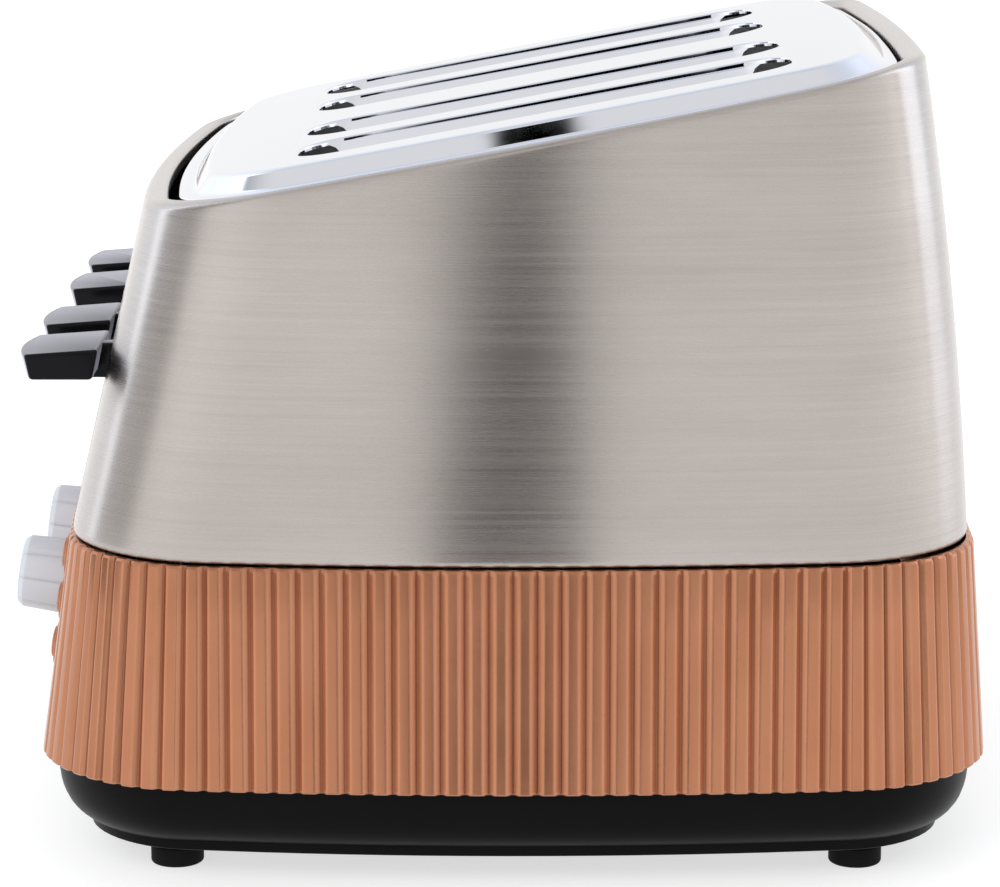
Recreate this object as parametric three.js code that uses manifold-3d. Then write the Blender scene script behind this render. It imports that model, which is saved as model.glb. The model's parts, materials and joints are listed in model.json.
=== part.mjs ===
// A four-slot pop-up toaster: brushed steel shell on a ribbed band, with a chrome top that slopes down to
// the controls. Millimetres, +Z up, X across the slots, -Y towards the levers and knobs.
import * as THREE from "three";
import { mergeVertices } from "three/addons/utils/BufferGeometryUtils.js";
import Module from "manifold-3d";

const wasm = await Module();
wasm.setup();

// ---- Driving dimensions ----------------------------------------------------------------------------

const GAP = 0.3; // running gap between pieces that touch
const SIDES = [-1, 1];
const ORIGIN_SHIFT_Y = 4.62; // brings the middle of the overall depth to Y = 0

// Slots and the sloping top
const SLOT_X = [-78.6, -31.4, 31.4, 78.6];
const SLOT_FRONT = -56.5;
const SLOT_REAR = 76.3;
const SLOT_WIDTH = 32;
const SLOT_BEVEL = 2.5;
const SLOT_CORNER = 12;
const COLLAR_WALL = 1.2;
const COLLAR_DEPTH = 8;
const TOP_SLOPE = 0.189; // rise per millimetre towards the back
const TOP_TILT = Math.atan(TOP_SLOPE);
const TOP_HEIGHT = 201.2; // plateau height over Y = 0
const TOP_THICKNESS = 1.6;
const PLATEAU_RISE = 5;
const PLATEAU = {
  halfWidth: 110.4, front: -84.5, rear: 99.5, corner: 20, sideBow: 5, frontBow: 7, rearBow: 6,
};
const FLANGE = {
  halfWidth: 122.2, front: -94, rear: 105.8, corner: 33, sideBow: 8, frontBow: 8, rearBow: 4,
};

// Shell of brushed steel
const SHELL_BOTTOM = 88;
const SHELL_WALL = 1.2;
const SHELL_HALF_WIDTH = 134.8;
const SHELL_SIDE_LEAN = 0.049;
const SHELL_FRONT = -123.2;
const FRONT_LEAN = THREE.MathUtils.degToRad(13.3);
const SHELL_REAR = 127.6;
const SHELL_FRONT_BOW = 8;
const SHELL_CORNER = 37;
const RIM_HEIGHT = 197.1;
const RIM_SLOPE = 0.1913;
const RIM_RADIUS = 3.4;
const RIM_WIDTH = 6.2;

// Ribbed band
const BAND_TOP = 87.4;
const BAND_BOTTOM = 28;
const BAND_TOP_PLAN = {
  halfWidth: 135.4, front: -123.8, rear: 129.3, corner: 37, sideBow: 9, frontBow: 8, rearBow: 3.6,
};
const BAND_BOTTOM_PLAN = {
  halfWidth: 141.7, front: -132, rear: 133, corner: 38, sideBow: 9, frontBow: 8, rearBow: 3.6,
};
const BAND_WALL = 2.2;
const RIB_DEPTH = 0.9;
const RIBS_PER_SIDE = 30;
const RIBS_PER_END = 33;
const RIBS_PER_CORNER = 9;

// Base tray and feet
const BASE_INSET = 4;
const BASE_TOP = 38;
const BASE_BOTTOM = 9;
const BASE_WALL = 2.5;
const LEDGE_BOTTOM = 7.4;
const BOWL = [ // height and inset, from the ledge's underside up
  [LEDGE_BOTTOM, 8.2], [10.6, 8.2], [11.4, 6], [13.8, 3.4], [18, 1.2], [27, 0],
];
const RUNNER_BOTTOM = 5.6;
const RUNNER_TOP = 9.6;
const RUNNER_WIDTH = 9;
const RUNNER = {
  halfWidth: 118.7, front: -104, rear: 105, corner: 10, sideBow: 3, frontBow: 6, rearBow: 3,
};
const POST_X = 112; // the blocks that carry the chamber's end plates
const POST_HALF_WIDTH = 8;
const POST_HALF_DEPTH = 4;
const GLAND_Z = 20;
const GLAND_INNER_Y = 109;
const GLAND_BOSS = { radius: 9.5, from: 112, to: 125 };
const GLAND_BORE_RADIUS = 5.2;
const GLAND_RECESS = { radius: 7.6, from: 121 };
const BEHIND_THE_BASE = 140; // far enough back for a cut to run out
const FOOT_RADIUS = 7.2;
const FOOT_X = 110;
const FOOT_Y = [-90, 95];

// Bread chambers
const FRONT_PLATE_Y = -68.8;
const REAR_PLATE_Y = 86.8;
const PLATE_THICKNESS = 1.4;
const PLATE_HALF_WIDTH = 103;
const PLATE_BOTTOM = 26;
const CHAMBER_FRONT = -66;
const CHAMBER_REAR = 84;
const SHIELD_X = 101.6;
const HEATER_X = [-97.6, -55, -12.4, 12.4, 55, 97.6];
const GUARD_OFFSET = 12.5;
const GUARD_HINGE_Z = 70;
const GUARD_THICKNESS = 1.4;
const GUARD_WINDOWS = 9;
const GUARD_PIN_RADIUS = 1.2;
const GUARD_X = SLOT_X.flatMap((x) => SIDES.map((side) => x + side * GUARD_OFFSET));

// Carriages, levers and springs
const RACK_TOP = 119;
const RACK_WIDTH = 16;
const RACK_FRONT = -57;
const RACK_REAR = 72;
const BLADE = 3; // thickness of the lever blade and arm
const SLIDER_Z = 123;
const SLIDER_Y = -83.3;
const SLIDER_LENGTH = 22;
const ROD_RADIUS = 2.5;
const ROD_BELOW = 77;
const ROD_ABOVE = 38;
const SPRING_TURNS = 6;
const SPRING_RADIUS = 4.1;
const SPRING_WIRE = 1.1;
const BLADE_BOTTOM = 130.5;
const BLADE_TOP = 136.5;
const HANDLE_WIDTH = 32;
const HANDLE_FRONT = -133.2;
const BLADE_FRONT = -124.2; // the blade ends inside the handle
const HANDLE_REAR = -112.2; // at its top edge, for a handle in the middle of the front
const HANDLE_TOP = 137.3;
const HANDLE_RISE = 1.5; // the top face rises this much from the front to the rear
const HANDLE_BOTTOM = 130.5;
const HANDLE_BULGE = 2.8;
const HANDLE_TAPER = 1.8; // the underside is this much shorter at the front and at the rear
const NECK_WIDTH = 6.4;
const NECK_BOTTOM = 128.8;
const NECK_TOP = 138.4;
const NECK_END = -103; // inside the shell
const NECK_CLEARANCE = 0.8;
const LEVER_TRAVEL = 38;

// Controls on the band
const KNOB_X = 34;
const KNOB_Z = 61;
const KNOB_RADIUS = 11;
const KNOB_FLUTES = 8;
const KNOB_STANDOFF = 0.6;
const KNOB_LENGTH = 13.6;
const SPIGOT_RADIUS = 3;
const BUTTON_X = 66;
const BUTTON_Z = [50, 63, 76];
const BUTTON_RADIUS = 4.4;
const BUTTON_TRAVEL = 1.5;
const STEM_END = 10.6; // from the band's face to the inner end of a button's stem
const BOARD_DEPTH = 16;

// Crumb trays
const TRAY_X = 55;
const TRAY_WIDTH = 88;
const TRAY_FRONT = -60;
const TRAY_REAR = 120;
const TRAY_HEIGHT = 8;
const TRAY_MOUTH_Y = 90; // the openings in the base's rear wall are cut from here back

// ---- Materials -------------------------------------------------------------------------------------

const finish = (color, roughness, metalness) => ({ color, roughness, metalness });
const BRUSHED_STEEL = finish(0xc3beb8, 0.35, 1);
const CHROME = finish(0xe6e8ec, 0.08, 1);
const COPPER_PAINT = finish(0xb07352, 0.45, 0.6);
const BLACK_PLASTIC = finish(0x0c0c0d, 0.45, 0);
const GLOSS_BLACK = finish(0x141416, 0.15, 0);
const SILVER_PLASTIC = finish(0xb9bec4, 0.4, 0.3);
const RUBBER = finish(0x18181a, 0.8, 0);
const PLATED_STEEL = finish(0xa9adb2, 0.4, 1);
const WIRE_STEEL = finish(0xbfc2c6, 0.25, 1);
const MICA = finish(0xa58c63, 0.7, 0);
const CIRCUIT_BOARD = finish(0x1f5a36, 0.5, 0);
const MAGNET_STEEL = finish(0x6f6a62, 0.5, 0.8);

// ---- Solids ----------------------------------------------------------------------------------------

function solidFrom(geometry) {
  const bare = geometry.clone();
  bare.deleteAttribute("normal");
  bare.deleteAttribute("uv");
  const merged = mergeVertices(bare, 1e-4);
  const vertProperties = merged.attributes.position.array;
  const triVerts = new Uint32Array(merged.index.array);
  return new wasm.Manifold(new wasm.Mesh({ numProp: 3, vertProperties, triVerts }));
}

function geometryFrom(solid) {
  const mesh = solid.getMesh();
  const geometry = new THREE.BufferGeometry();
  geometry.setAttribute("position", new THREE.BufferAttribute(new Float32Array(mesh.vertProperties), 3));
  geometry.setIndex(new THREE.BufferAttribute(new Uint32Array(mesh.triVerts), 1));
  return geometry;
}

const joined = (...parts) => parts.map(solidFrom).reduce((whole, part) => whole.add(part));

function shaped(added, removed) {
  const whole = joined(...added);
  return geometryFrom(removed.map(solidFrom).reduce((left, tool) => left.subtract(tool), whole));
}

// A box between two corners.
function box(low, high) {
  const size = high.map((value, axis) => value - low[axis]);
  const middle = high.map((value, axis) => (value + low[axis]) / 2);
  return new THREE.BoxGeometry(...size).translate(...middle);
}

// An upright cylinder from one height to another.
function post(radius, low, high, x = 0, y = 0, segments = 16) {
  const height = high - low;
  const upright = new THREE.CylinderGeometry(radius, radius, height, segments).rotateX(Math.PI / 2);
  return upright.translate(x, y, (low + high) / 2);
}

// A turned solid about the Z axis. The [radius, z] points start and end on the axis or close on themselves.
function turned(profile, segments = 20) {
  const points = profile.map(([radius, z]) => new THREE.Vector2(radius, z));
  return new THREE.LatheGeometry(points, segments).rotateX(Math.PI / 2);
}

// A flat outline in the Y-Z plane, made into a plate that is centred on X = x.
function uprightPlate(points, x, thickness) {
  const shape = new THREE.Shape(points.map(([y, z]) => new THREE.Vector2(y, z)));
  const plate = new THREE.ExtrudeGeometry(shape, { depth: thickness, bevelEnabled: false });
  // The extrusion's own axes (u, v, depth) become (Y, Z, X).
  const turn = new THREE.Matrix4().makeBasis(
    new THREE.Vector3(0, 1, 0),
    new THREE.Vector3(0, 0, 1),
    new THREE.Vector3(1, 0, 0),
  );
  return plate.applyMatrix4(turn).translate(x - thickness / 2, 0, 0);
}

// Joins rings of points into one surface. The rings close on themselves; the last ring meets the first
// one when hollow is true, and otherwise both end rings are capped.
function loft(rings, hollow) {
  const count = rings[0].length;
  const positions = rings.flat().flatMap((point) => [point.x, point.y, point.z]);
  const index = [];
  const last = hollow ? rings.length : rings.length - 1;
  for (let row = 0; row < last; row++) {
    const next = (row + 1) % rings.length;
    for (let i = 0; i < count; i++) {
      const j = (i + 1) % count;
      index.push(row * count + i, row * count + j, next * count + j);
      index.push(row * count + i, next * count + j, next * count + i);
    }
  }
  if (!hollow) {
    const flat = (ring) => ring.map((point) => new THREE.Vector2(point.x, point.y));
    THREE.ShapeUtils.triangulateShape(flat(rings[0]), []).forEach(([a, b, c]) => index.push(a, c, b));
    const offset = (rings.length - 1) * count;
    const top = THREE.ShapeUtils.triangulateShape(flat(rings[rings.length - 1]), []);
    top.forEach(([a, b, c]) => index.push(offset + a, offset + b, offset + c));
  }
  const geometry = new THREE.BufferGeometry();
  geometry.setAttribute("position", new THREE.Float32BufferAttribute(positions, 3));
  geometry.setIndex(index);
  return geometry;
}

// ---- Plan outlines ---------------------------------------------------------------------------------

// A place on the outline: which of its eight stretches, and how far along it.
function stations(perSide, perEnd, perCorner) {
  const steps = [perSide, perCorner, perEnd, perCorner, perSide, perCorner, perEnd, perCorner];
  return steps.flatMap((count, stretch) =>
    Array.from({ length: count }, (_, step) => ({ stretch, fraction: step / count })),
  );
}

// A point on a rounded rectangle with bowed sides, counter-clockwise from the front end of the +X side.
function planPoint(plan, { stretch, fraction }) {
  const { halfWidth, front, rear, corner, sideBow, frontBow, rearBow } = plan;
  const side = halfWidth - corner;
  const starts = [
    [halfWidth, front + corner], [side, rear - corner], [side, rear], [-side, rear - corner],
    [-halfWidth, rear - corner], [-side, front + corner], [-side, front], [side, front + corner],
  ];
  const runs = { 0: [0, 1], 2: [-1, 0], 4: [0, -1], 6: [1, 0] };
  let [x, y] = starts[stretch];
  if (stretch % 2 === 0) {
    const length = stretch % 4 === 0 ? rear - front - 2 * corner : 2 * side;
    x += runs[stretch][0] * length * fraction;
    y += runs[stretch][1] * length * fraction;
  } else {
    const angle = (Math.PI / 2) * ((stretch - 1) / 2 + fraction);
    x += corner * Math.cos(angle);
    y += corner * Math.sin(angle);
  }
  const middle = (front + rear) / 2;
  const halfDepth = (rear - front) / 2;
  const along = (y - middle) / halfDepth;
  const across = x / halfWidth;
  const endBow = y < middle ? frontBow : rearBow;
  return {
    x: x * (1 - (sideBow / halfWidth) * along * along),
    y: middle + (y - middle) * (1 - (endBow / halfDepth) * across * across),
  };
}

const inset = (plan, distance) => ({
  ...plan,
  halfWidth: plan.halfWidth - distance,
  front: plan.front + distance,
  rear: plan.rear - distance,
  corner: plan.corner - distance,
});

function between(low, high, fraction) {
  const keys = Object.keys(low);
  return Object.fromEntries(keys.map((key) => [key, low[key] + (high[key] - low[key]) * fraction]));
}

const levelRing = (plan, z, places) =>
  places.map((place) => {
    const { x, y } = planPoint(plan, place);
    return new THREE.Vector3(x, y, z);
  });

const SMOOTH = stations(4, 4, 5);
const BAND_HEIGHT = BAND_TOP - BAND_BOTTOM;
const bandPlan = (z) => between(BAND_BOTTOM_PLAN, BAND_TOP_PLAN, (z - BAND_BOTTOM) / BAND_HEIGHT);

// ---- Shell -----------------------------------------------------------------------------------------

const rimHeight = (y) => RIM_HEIGHT + RIM_SLOPE * y;

// The leaning walls give each height its own plan; the back wall curves in as it rises.
function shellPlan(z) {
  const up = z - SHELL_BOTTOM;
  return {
    halfWidth: SHELL_HALF_WIDTH - SHELL_SIDE_LEAN * up,
    front: SHELL_FRONT + Math.tan(FRONT_LEAN) * up,
    rear: SHELL_REAR - 0.055 * up - 0.0004 * up * up,
    corner: SHELL_CORNER,
    sideBow: 9,
    frontBow: SHELL_FRONT_BOW,
    rearBow: 3.6,
  };
}

// A ring whose height depends on its own depth, so that it can follow the sloping rim.
function shellRing(heightAt, distance) {
  return SMOOTH.map((place) => {
    let z = SHELL_BOTTOM;
    let point = planPoint(inset(shellPlan(z), distance), place);
    for (let pass = 0; pass < 6; pass++) {
      z = heightAt(point.y);
      point = planPoint(inset(shellPlan(z), distance), place);
    }
    return new THREE.Vector3(point.x, point.y, z);
  });
}

function outerShell() {
  const wallTop = (y) => rimHeight(y) - RIM_RADIUS;
  const wallHeight = (fraction) => (y) => SHELL_BOTTOM + (wallTop(y) - SHELL_BOTTOM) * fraction;
  const belowRim = (drop) => (y) => rimHeight(y) - drop;
  const walls = [0, 0.35, 0.7, 1];
  const lip = RIM_WIDTH - SHELL_WALL;
  const outside = walls.map((fraction) => shellRing(wallHeight(fraction), 0));
  const inside = walls.map((fraction) => shellRing(wallHeight(fraction), SHELL_WALL)).reverse();
  const roll = [30, 60, 90].map((degrees) => {
    const angle = THREE.MathUtils.degToRad(degrees);
    const drop = RIM_RADIUS * (1 - Math.sin(angle));
    return shellRing(belowRim(drop), RIM_RADIUS * (1 - Math.cos(angle)));
  });
  const rings = [
    ...outside,
    ...roll,
    shellRing(belowRim(0.9), RIM_WIDTH - 0.5),
    shellRing(belowRim(3.4), RIM_WIDTH),
    shellRing(belowRim(3.4), lip),
    shellRing(belowRim(SHELL_WALL + 0.3), lip - 0.6),
    shellRing(belowRim(SHELL_WALL + 0.8), SHELL_WALL + 0.9),
    ...inside,
  ];
  return shaped([loft(rings, true)], SLOT_X.map(leverSlot));
}

// The upright slot in the shell's front that a lever's neck slides in.
function leverSlot(x) {
  const half = NECK_WIDTH / 2 + NECK_CLEARANCE;
  const low = NECK_BOTTOM - LEVER_TRAVEL * Math.cos(FRONT_LEAN) - NECK_CLEARANCE;
  return box([x - half, -140, low], [x + half, -90, NECK_TOP + NECK_CLEARANCE]);
}

// ---- Band ------------------------------------------------------------------------------------------

// Where the band's ribs crest at the front, at a place across and a height.
function bandFront(x, z) {
  const { halfWidth, front, frontBow } = bandPlan(z);
  const across = x / halfWidth;
  return front + frontBow * across * across;
}

const BAND_LEAN = Math.atan((BAND_TOP_PLAN.front - BAND_BOTTOM_PLAN.front) / BAND_HEIGHT);

// A group on the band's front whose +Z axis points straight out of it.
function controlMount(x, z) {
  const group = new THREE.Group();
  group.position.set(x, bandFront(x, z), z);
  group.rotation.x = Math.PI / 2 - BAND_LEAN;
  return group;
}

function placedLike(geometry, x, z) {
  const mount = controlMount(x, z);
  mount.updateMatrix();
  return geometry.applyMatrix4(mount.matrix);
}

function ribbedBand() {
  const places = stations(2 * RIBS_PER_SIDE, 2 * RIBS_PER_END, 2 * RIBS_PER_CORNER);
  const ribbed = (z) => {
    const crest = levelRing(bandPlan(z), z, places);
    const groove = levelRing(inset(bandPlan(z), RIB_DEPTH), z, places);
    return crest.map((point, i) => (i % 2 ? point : groove[i]));
  };
  const inner = (z) => levelRing(inset(bandPlan(z), BAND_WALL), z, places);
  const rings = [ribbed(BAND_BOTTOM), ribbed(BAND_TOP), inner(BAND_TOP), inner(BAND_BOTTOM)];
  const holes = SIDES.flatMap((side) => [
    placedLike(post(SPIGOT_RADIUS + 0.8, -8, 4), side * KNOB_X, KNOB_Z),
    ...BUTTON_Z.map((z) => placedLike(post(BUTTON_RADIUS + GAP, -8, 4), side * BUTTON_X, z)),
  ]);
  return shaped([loft(rings, true)], holes);
}

// ---- Top plate -------------------------------------------------------------------------------------

function topPlate() {
  const stretched = (plan) => ({
    ...plan,
    front: plan.front / Math.cos(TOP_TILT),
    rear: plan.rear / Math.cos(TOP_TILT),
  });
  const plateau = stretched(PLATEAU);
  const flange = stretched(FLANGE);
  const foot = inset(plateau, -PLATEAU_RISE);
  const body = loft(
    [
      levelRing(flange, -PLATEAU_RISE - TOP_THICKNESS, SMOOTH),
      levelRing(flange, -PLATEAU_RISE, SMOOTH),
      levelRing(foot, -PLATEAU_RISE, SMOOTH),
      levelRing(plateau, 0, SMOOTH),
    ],
    false,
  );
  const hollow = loft(
    [
      levelRing(inset(foot, 0.4), -PLATEAU_RISE - TOP_THICKNESS - 1, SMOOTH),
      levelRing(inset(foot, 2), -PLATEAU_RISE + 0.4, SMOOTH),
      levelRing(inset(plateau, 1), -TOP_THICKNESS, SMOOTH),
    ],
    false,
  );
  const places = stations(1, 1, 4);
  const slotRing = (x, z, distance) => {
    const outline = {
      halfWidth: SLOT_WIDTH / 2,
      front: SLOT_FRONT / Math.cos(TOP_TILT),
      rear: SLOT_REAR / Math.cos(TOP_TILT),
      corner: SLOT_CORNER,
      sideBow: 0,
      frontBow: 0,
      rearBow: 0,
    };
    return levelRing(inset(outline, distance), z, places).map((point) => point.setX(point.x + x));
  };
  const opening = (x) =>
    loft(
      [
        slotRing(x, -COLLAR_DEPTH - 1, SLOT_BEVEL),
        slotRing(x, -SLOT_BEVEL, SLOT_BEVEL),
        slotRing(x, 0, 0),
        slotRing(x, 1, -1),
      ],
      false,
    );
  const collarInset = SLOT_BEVEL - COLLAR_WALL;
  const collar = (x) =>
    loft([slotRing(x, -COLLAR_DEPTH, collarInset), slotRing(x, -TOP_THICKNESS / 2, collarInset)], false);
  const skin = solidFrom(body).subtract(solidFrom(hollow));
  const withCollars = SLOT_X.reduce((whole, x) => whole.add(solidFrom(collar(x))), skin);
  return geometryFrom(SLOT_X.reduce((whole, x) => whole.subtract(solidFrom(opening(x))), withCollars));
}

// ---- Base ------------------------------------------------------------------------------------------

function baseTray() {
  const plan = inset(BAND_BOTTOM_PLAN, BASE_INSET);
  const ring = (z, distance) => levelRing(inset(plan, distance), z, SMOOTH);
  const tub = loft(
    [
      ...BOWL.map(([z, distance]) => ring(z, distance)),
      ring(BASE_TOP, 0),
      ring(BASE_TOP, BASE_WALL),
      ring(27, BASE_WALL),
      ring(20, BASE_WALL + 1.5),
      ring(14, BASE_WALL + 6),
      ring(BASE_BOTTOM + BASE_WALL, BASE_WALL + 12),
    ],
    false,
  );
  const runnerRing = (z, distance) => levelRing(inset(RUNNER, distance), z, SMOOTH);
  const runner = loft(
    [
      runnerRing(RUNNER_BOTTOM, 0),
      runnerRing(RUNNER_TOP, 0),
      runnerRing(RUNNER_TOP, RUNNER_WIDTH),
      runnerRing(RUNNER_BOTTOM, RUNNER_WIDTH),
    ],
    true,
  );
  const posts = SIDES.flatMap((side) =>
    [FRONT_PLATE_Y, REAR_PLATE_Y].map((y) =>
      box(
        [side * POST_X - POST_HALF_WIDTH, y - POST_HALF_DEPTH, BASE_BOTTOM + 1],
        [side * POST_X + POST_HALF_WIDTH, y + POST_HALF_DEPTH, PLATE_BOTTOM - GAP],
      ),
    ),
  );
  const trayMouths = SIDES.map((side) => {
    const half = TRAY_WIDTH / 2 + 0.8;
    const low = BASE_BOTTOM + BASE_WALL;
    const high = low + TRAY_HEIGHT + 2;
    return box([side * TRAY_X - half, TRAY_MOUTH_Y, low], [side * TRAY_X + half, BEHIND_THE_BASE, high]);
  });
  const footRooms = SIDES.flatMap((side) =>
    FOOT_Y.map((y) => post(FOOT_RADIUS + GAP, 0, BASE_BOTTOM, side * FOOT_X, y)),
  );
  const backward = (geometry) => geometry.rotateX(-Math.PI / 2).translate(0, 0, GLAND_Z);
  const boss = backward(post(GLAND_BOSS.radius, GLAND_BOSS.from, GLAND_BOSS.to));
  const glandHole = backward(post(GLAND_BORE_RADIUS, TRAY_MOUTH_Y, BEHIND_THE_BASE));
  const glandRecess = backward(post(GLAND_RECESS.radius, GLAND_RECESS.from, BEHIND_THE_BASE));
  const tools = [...trayMouths, ...footRooms, glandHole, glandRecess];
  return shaped([tub, runner, ...posts, boss], tools);
}

// A rubber foot: a flat pad with a rounded edge and a stub that is pressed up under the tray.
function foot() {
  return turned([
    [0, 0], [FOOT_RADIUS - 1, 0], [FOOT_RADIUS, 1], [FOOT_RADIUS, 5], [3, 6.5], [3, BASE_BOTTOM - GAP],
    [0, BASE_BOTTOM - GAP],
  ]);
}

// The open rubber gland for the mains lead: a flange on each side of the base's boss and a tapered tail.
function cordGland() {
  return turned(
    [
      [1.8, 0], [6.5, 0], [6.5, 2.5], [4.8, 2.5], [4.8, 12.3], [7, 12.3], [7, 14.3], [5.5, 14.3], [4.2, 22],
      [1.8, 22], [1.8, 0],
    ],
    16,
  );
}

function crumbTray() {
  const half = TRAY_WIDTH / 2;
  const pan = box([-half, TRAY_FRONT, 0], [half, TRAY_REAR, TRAY_HEIGHT]);
  const inside = box([-half + 1, TRAY_FRONT + 1, 1], [half - 1, TRAY_REAR - 2, TRAY_HEIGHT + 1]);
  const grip = box([-18, TRAY_REAR - 1, 2.5], [18, TRAY_REAR + 9, 5]);
  return shaped([pan, grip], [inside]);
}

// ---- Chambers --------------------------------------------------------------------------------------

const chamberTop = (y, drop) => TOP_HEIGHT + TOP_SLOPE * y - drop;

// The front plate has a slot for each carriage's arm, and two tabs that hold each guide rod.
function frontEndPlate() {
  const low = FRONT_PLATE_Y - PLATE_THICKNESS / 2;
  const high = FRONT_PLATE_Y + PLATE_THICKNESS / 2;
  const top = chamberTop(low, TOP_THICKNESS + 1.5);
  const sheet = box([-PLATE_HALF_WIDTH, low, PLATE_BOTTOM], [PLATE_HALF_WIDTH, high, top]);
  const tabs = SLOT_X.flatMap((x) =>
    [-ROD_BELOW + 5, ROD_ABOVE - 5].map((along) => {
      const { y, z } = onRod(along);
      return box([x - 7, y - 6, z - 0.8], [x + 7, low + 0.5, z + 0.8]);
    }),
  );
  const rodHoles = SLOT_X.map((x) => alongRod(post(ROD_RADIUS + GAP, -ROD_BELOW - 9, ROD_ABOVE + 9), x));
  const drop = LEVER_TRAVEL * Math.cos(FRONT_LEAN);
  const armSlots = SLOT_X.map((x) =>
    box([x - BLADE / 2 - 1, low - 5, RACK_TOP - 10 - drop], [x + BLADE / 2 + 1, high + 5, RACK_TOP + 2]),
  );
  return shaped([sheet, ...tabs], [...rodHoles, ...armSlots, ...pinHoles(low, high)]);
}

function rearEndPlate() {
  const low = REAR_PLATE_Y - PLATE_THICKNESS / 2;
  const high = REAR_PLATE_Y + PLATE_THICKNESS / 2;
  const top = chamberTop(low, TOP_THICKNESS + 1.5);
  const sheet = box([-PLATE_HALF_WIDTH, low, PLATE_BOTTOM], [PLATE_HALF_WIDTH, high, top]);
  return shaped([sheet], pinHoles(low, high));
}

const pinHoles = (low, high) =>
  GUARD_X.map((x) => guardPin(x, GUARD_PIN_RADIUS + GAP, low - 1, high + 1));

// An upright sheet between the end plates, with its top edge parallel to the sloping top.
function chamberSheet(x, bottom, drop, thickness) {
  const front = FRONT_PLATE_Y + PLATE_THICKNESS / 2 + GAP;
  const rear = REAR_PLATE_Y - PLATE_THICKNESS / 2 - GAP;
  const corners = [
    [front, bottom],
    [rear, bottom],
    [rear, chamberTop(rear, drop)],
    [front, chamberTop(front, drop)],
  ];
  return uprightPlate(corners, x, thickness);
}

// A heater: a mica card whose notched ends carry the wound ribbon.
function heater(x) {
  const bottom = 76;
  const turns = 5;
  const edge = (y, outward) =>
    Array.from({ length: turns }, (_, turn) => {
      const room = chamberTop(y, 24) - bottom;
      const z = bottom + (room * (turn + 0.5)) / turns;
      return [[y, z - 1.5], [y - outward * 2.5, z - 1.5], [y - outward * 2.5, z + 1.5], [y, z + 1.5]];
    });
  const rearEdge = edge(CHAMBER_REAR - 4, 1).flat();
  const frontEdge = edge(CHAMBER_FRONT + 4, -1).flat();
  const corners = [
    [CHAMBER_FRONT + 4, bottom],
    [CHAMBER_REAR - 4, bottom],
    ...rearEdge,
    [CHAMBER_REAR - 4, chamberTop(CHAMBER_REAR - 4, 20)],
    [CHAMBER_FRONT + 4, chamberTop(CHAMBER_FRONT + 4, 20)],
    ...frontEdge.reverse(),
  ];
  return uprightPlate(corners, x, 1);
}

// A guard: an upright grille that leans in on the pins at its bottom edge to centre the bread.
function guard(x) {
  const front = CHAMBER_FRONT + 2;
  const rear = CHAMBER_REAR - 2;
  const top = (y) => chamberTop(y, COLLAR_DEPTH + 2.5);
  const pitch = (rear - front) / GUARD_WINDOWS;
  const windows = Array.from({ length: GUARD_WINDOWS }, (_, i) => {
    const from = front + pitch * i + 1.2;
    const to = front + pitch * (i + 1) - 1.2;
    const low = GUARD_HINGE_Z + 4;
    const edges = [[from, low], [to, low], [to, top(to) - 4], [from, top(from) - 4]];
    return uprightPlate(edges, x, 2 * GUARD_THICKNESS);
  });
  const corners = [[front, GUARD_HINGE_Z], [rear, GUARD_HINGE_Z], [rear, top(rear)], [front, top(front)]];
  const pins = [
    guardPin(x, GUARD_PIN_RADIUS, FRONT_PLATE_Y - PLATE_THICKNESS, front + 4),
    guardPin(x, GUARD_PIN_RADIUS, rear - 4, REAR_PLATE_Y + PLATE_THICKNESS),
  ];
  return shaped([uprightPlate(corners, x, GUARD_THICKNESS), ...pins], windows);
}

// A pin, or the hole for one, on a guard's hinge line.
function guardPin(x, radius, front, rear) {
  return post(radius, -rear, -front, 0, 0, 10).rotateX(Math.PI / 2).translate(x, 0, GUARD_HINGE_Z);
}

// ---- Carriages -------------------------------------------------------------------------------------

// Places and shapes along a guide rod, which leans back with the shell's front.
const onRod = (along) => ({
  y: SLIDER_Y + along * Math.sin(FRONT_LEAN),
  z: SLIDER_Z + along * Math.cos(FRONT_LEAN),
});

const alongRod = (geometry, x) => geometry.rotateX(-FRONT_LEAN).translate(x, SLIDER_Y, SLIDER_Z);

function guideRod(x) {
  return alongRod(post(ROD_RADIUS, -ROD_BELOW, ROD_ABOVE, 0, 0, 12), x);
}

// The return spring round the rod, between its lower tab and the slider.
function returnSpring(x) {
  const low = -ROD_BELOW + 5 + 2.2;
  const high = -SLIDER_LENGTH / 2 - SPRING_WIRE - GAP;
  class Coil extends THREE.Curve {
    getPoint(t, target = new THREE.Vector3()) {
      const angle = 2 * Math.PI * SPRING_TURNS * t;
      return target.set(
        SPRING_RADIUS * Math.cos(angle),
        SPRING_RADIUS * Math.sin(angle),
        low + (high - low) * t,
      );
    }
  }
  const wire = new THREE.Shape();
  const half = SPRING_WIRE / 2;
  wire.moveTo(-half, 0);
  wire.lineTo(0, -half);
  wire.lineTo(half, 0);
  wire.lineTo(0, half);
  const coil = new THREE.ExtrudeGeometry(wire, { steps: SPRING_TURNS * 7, extrudePath: new Coil() });
  return alongRod(coil, x);
}

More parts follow.
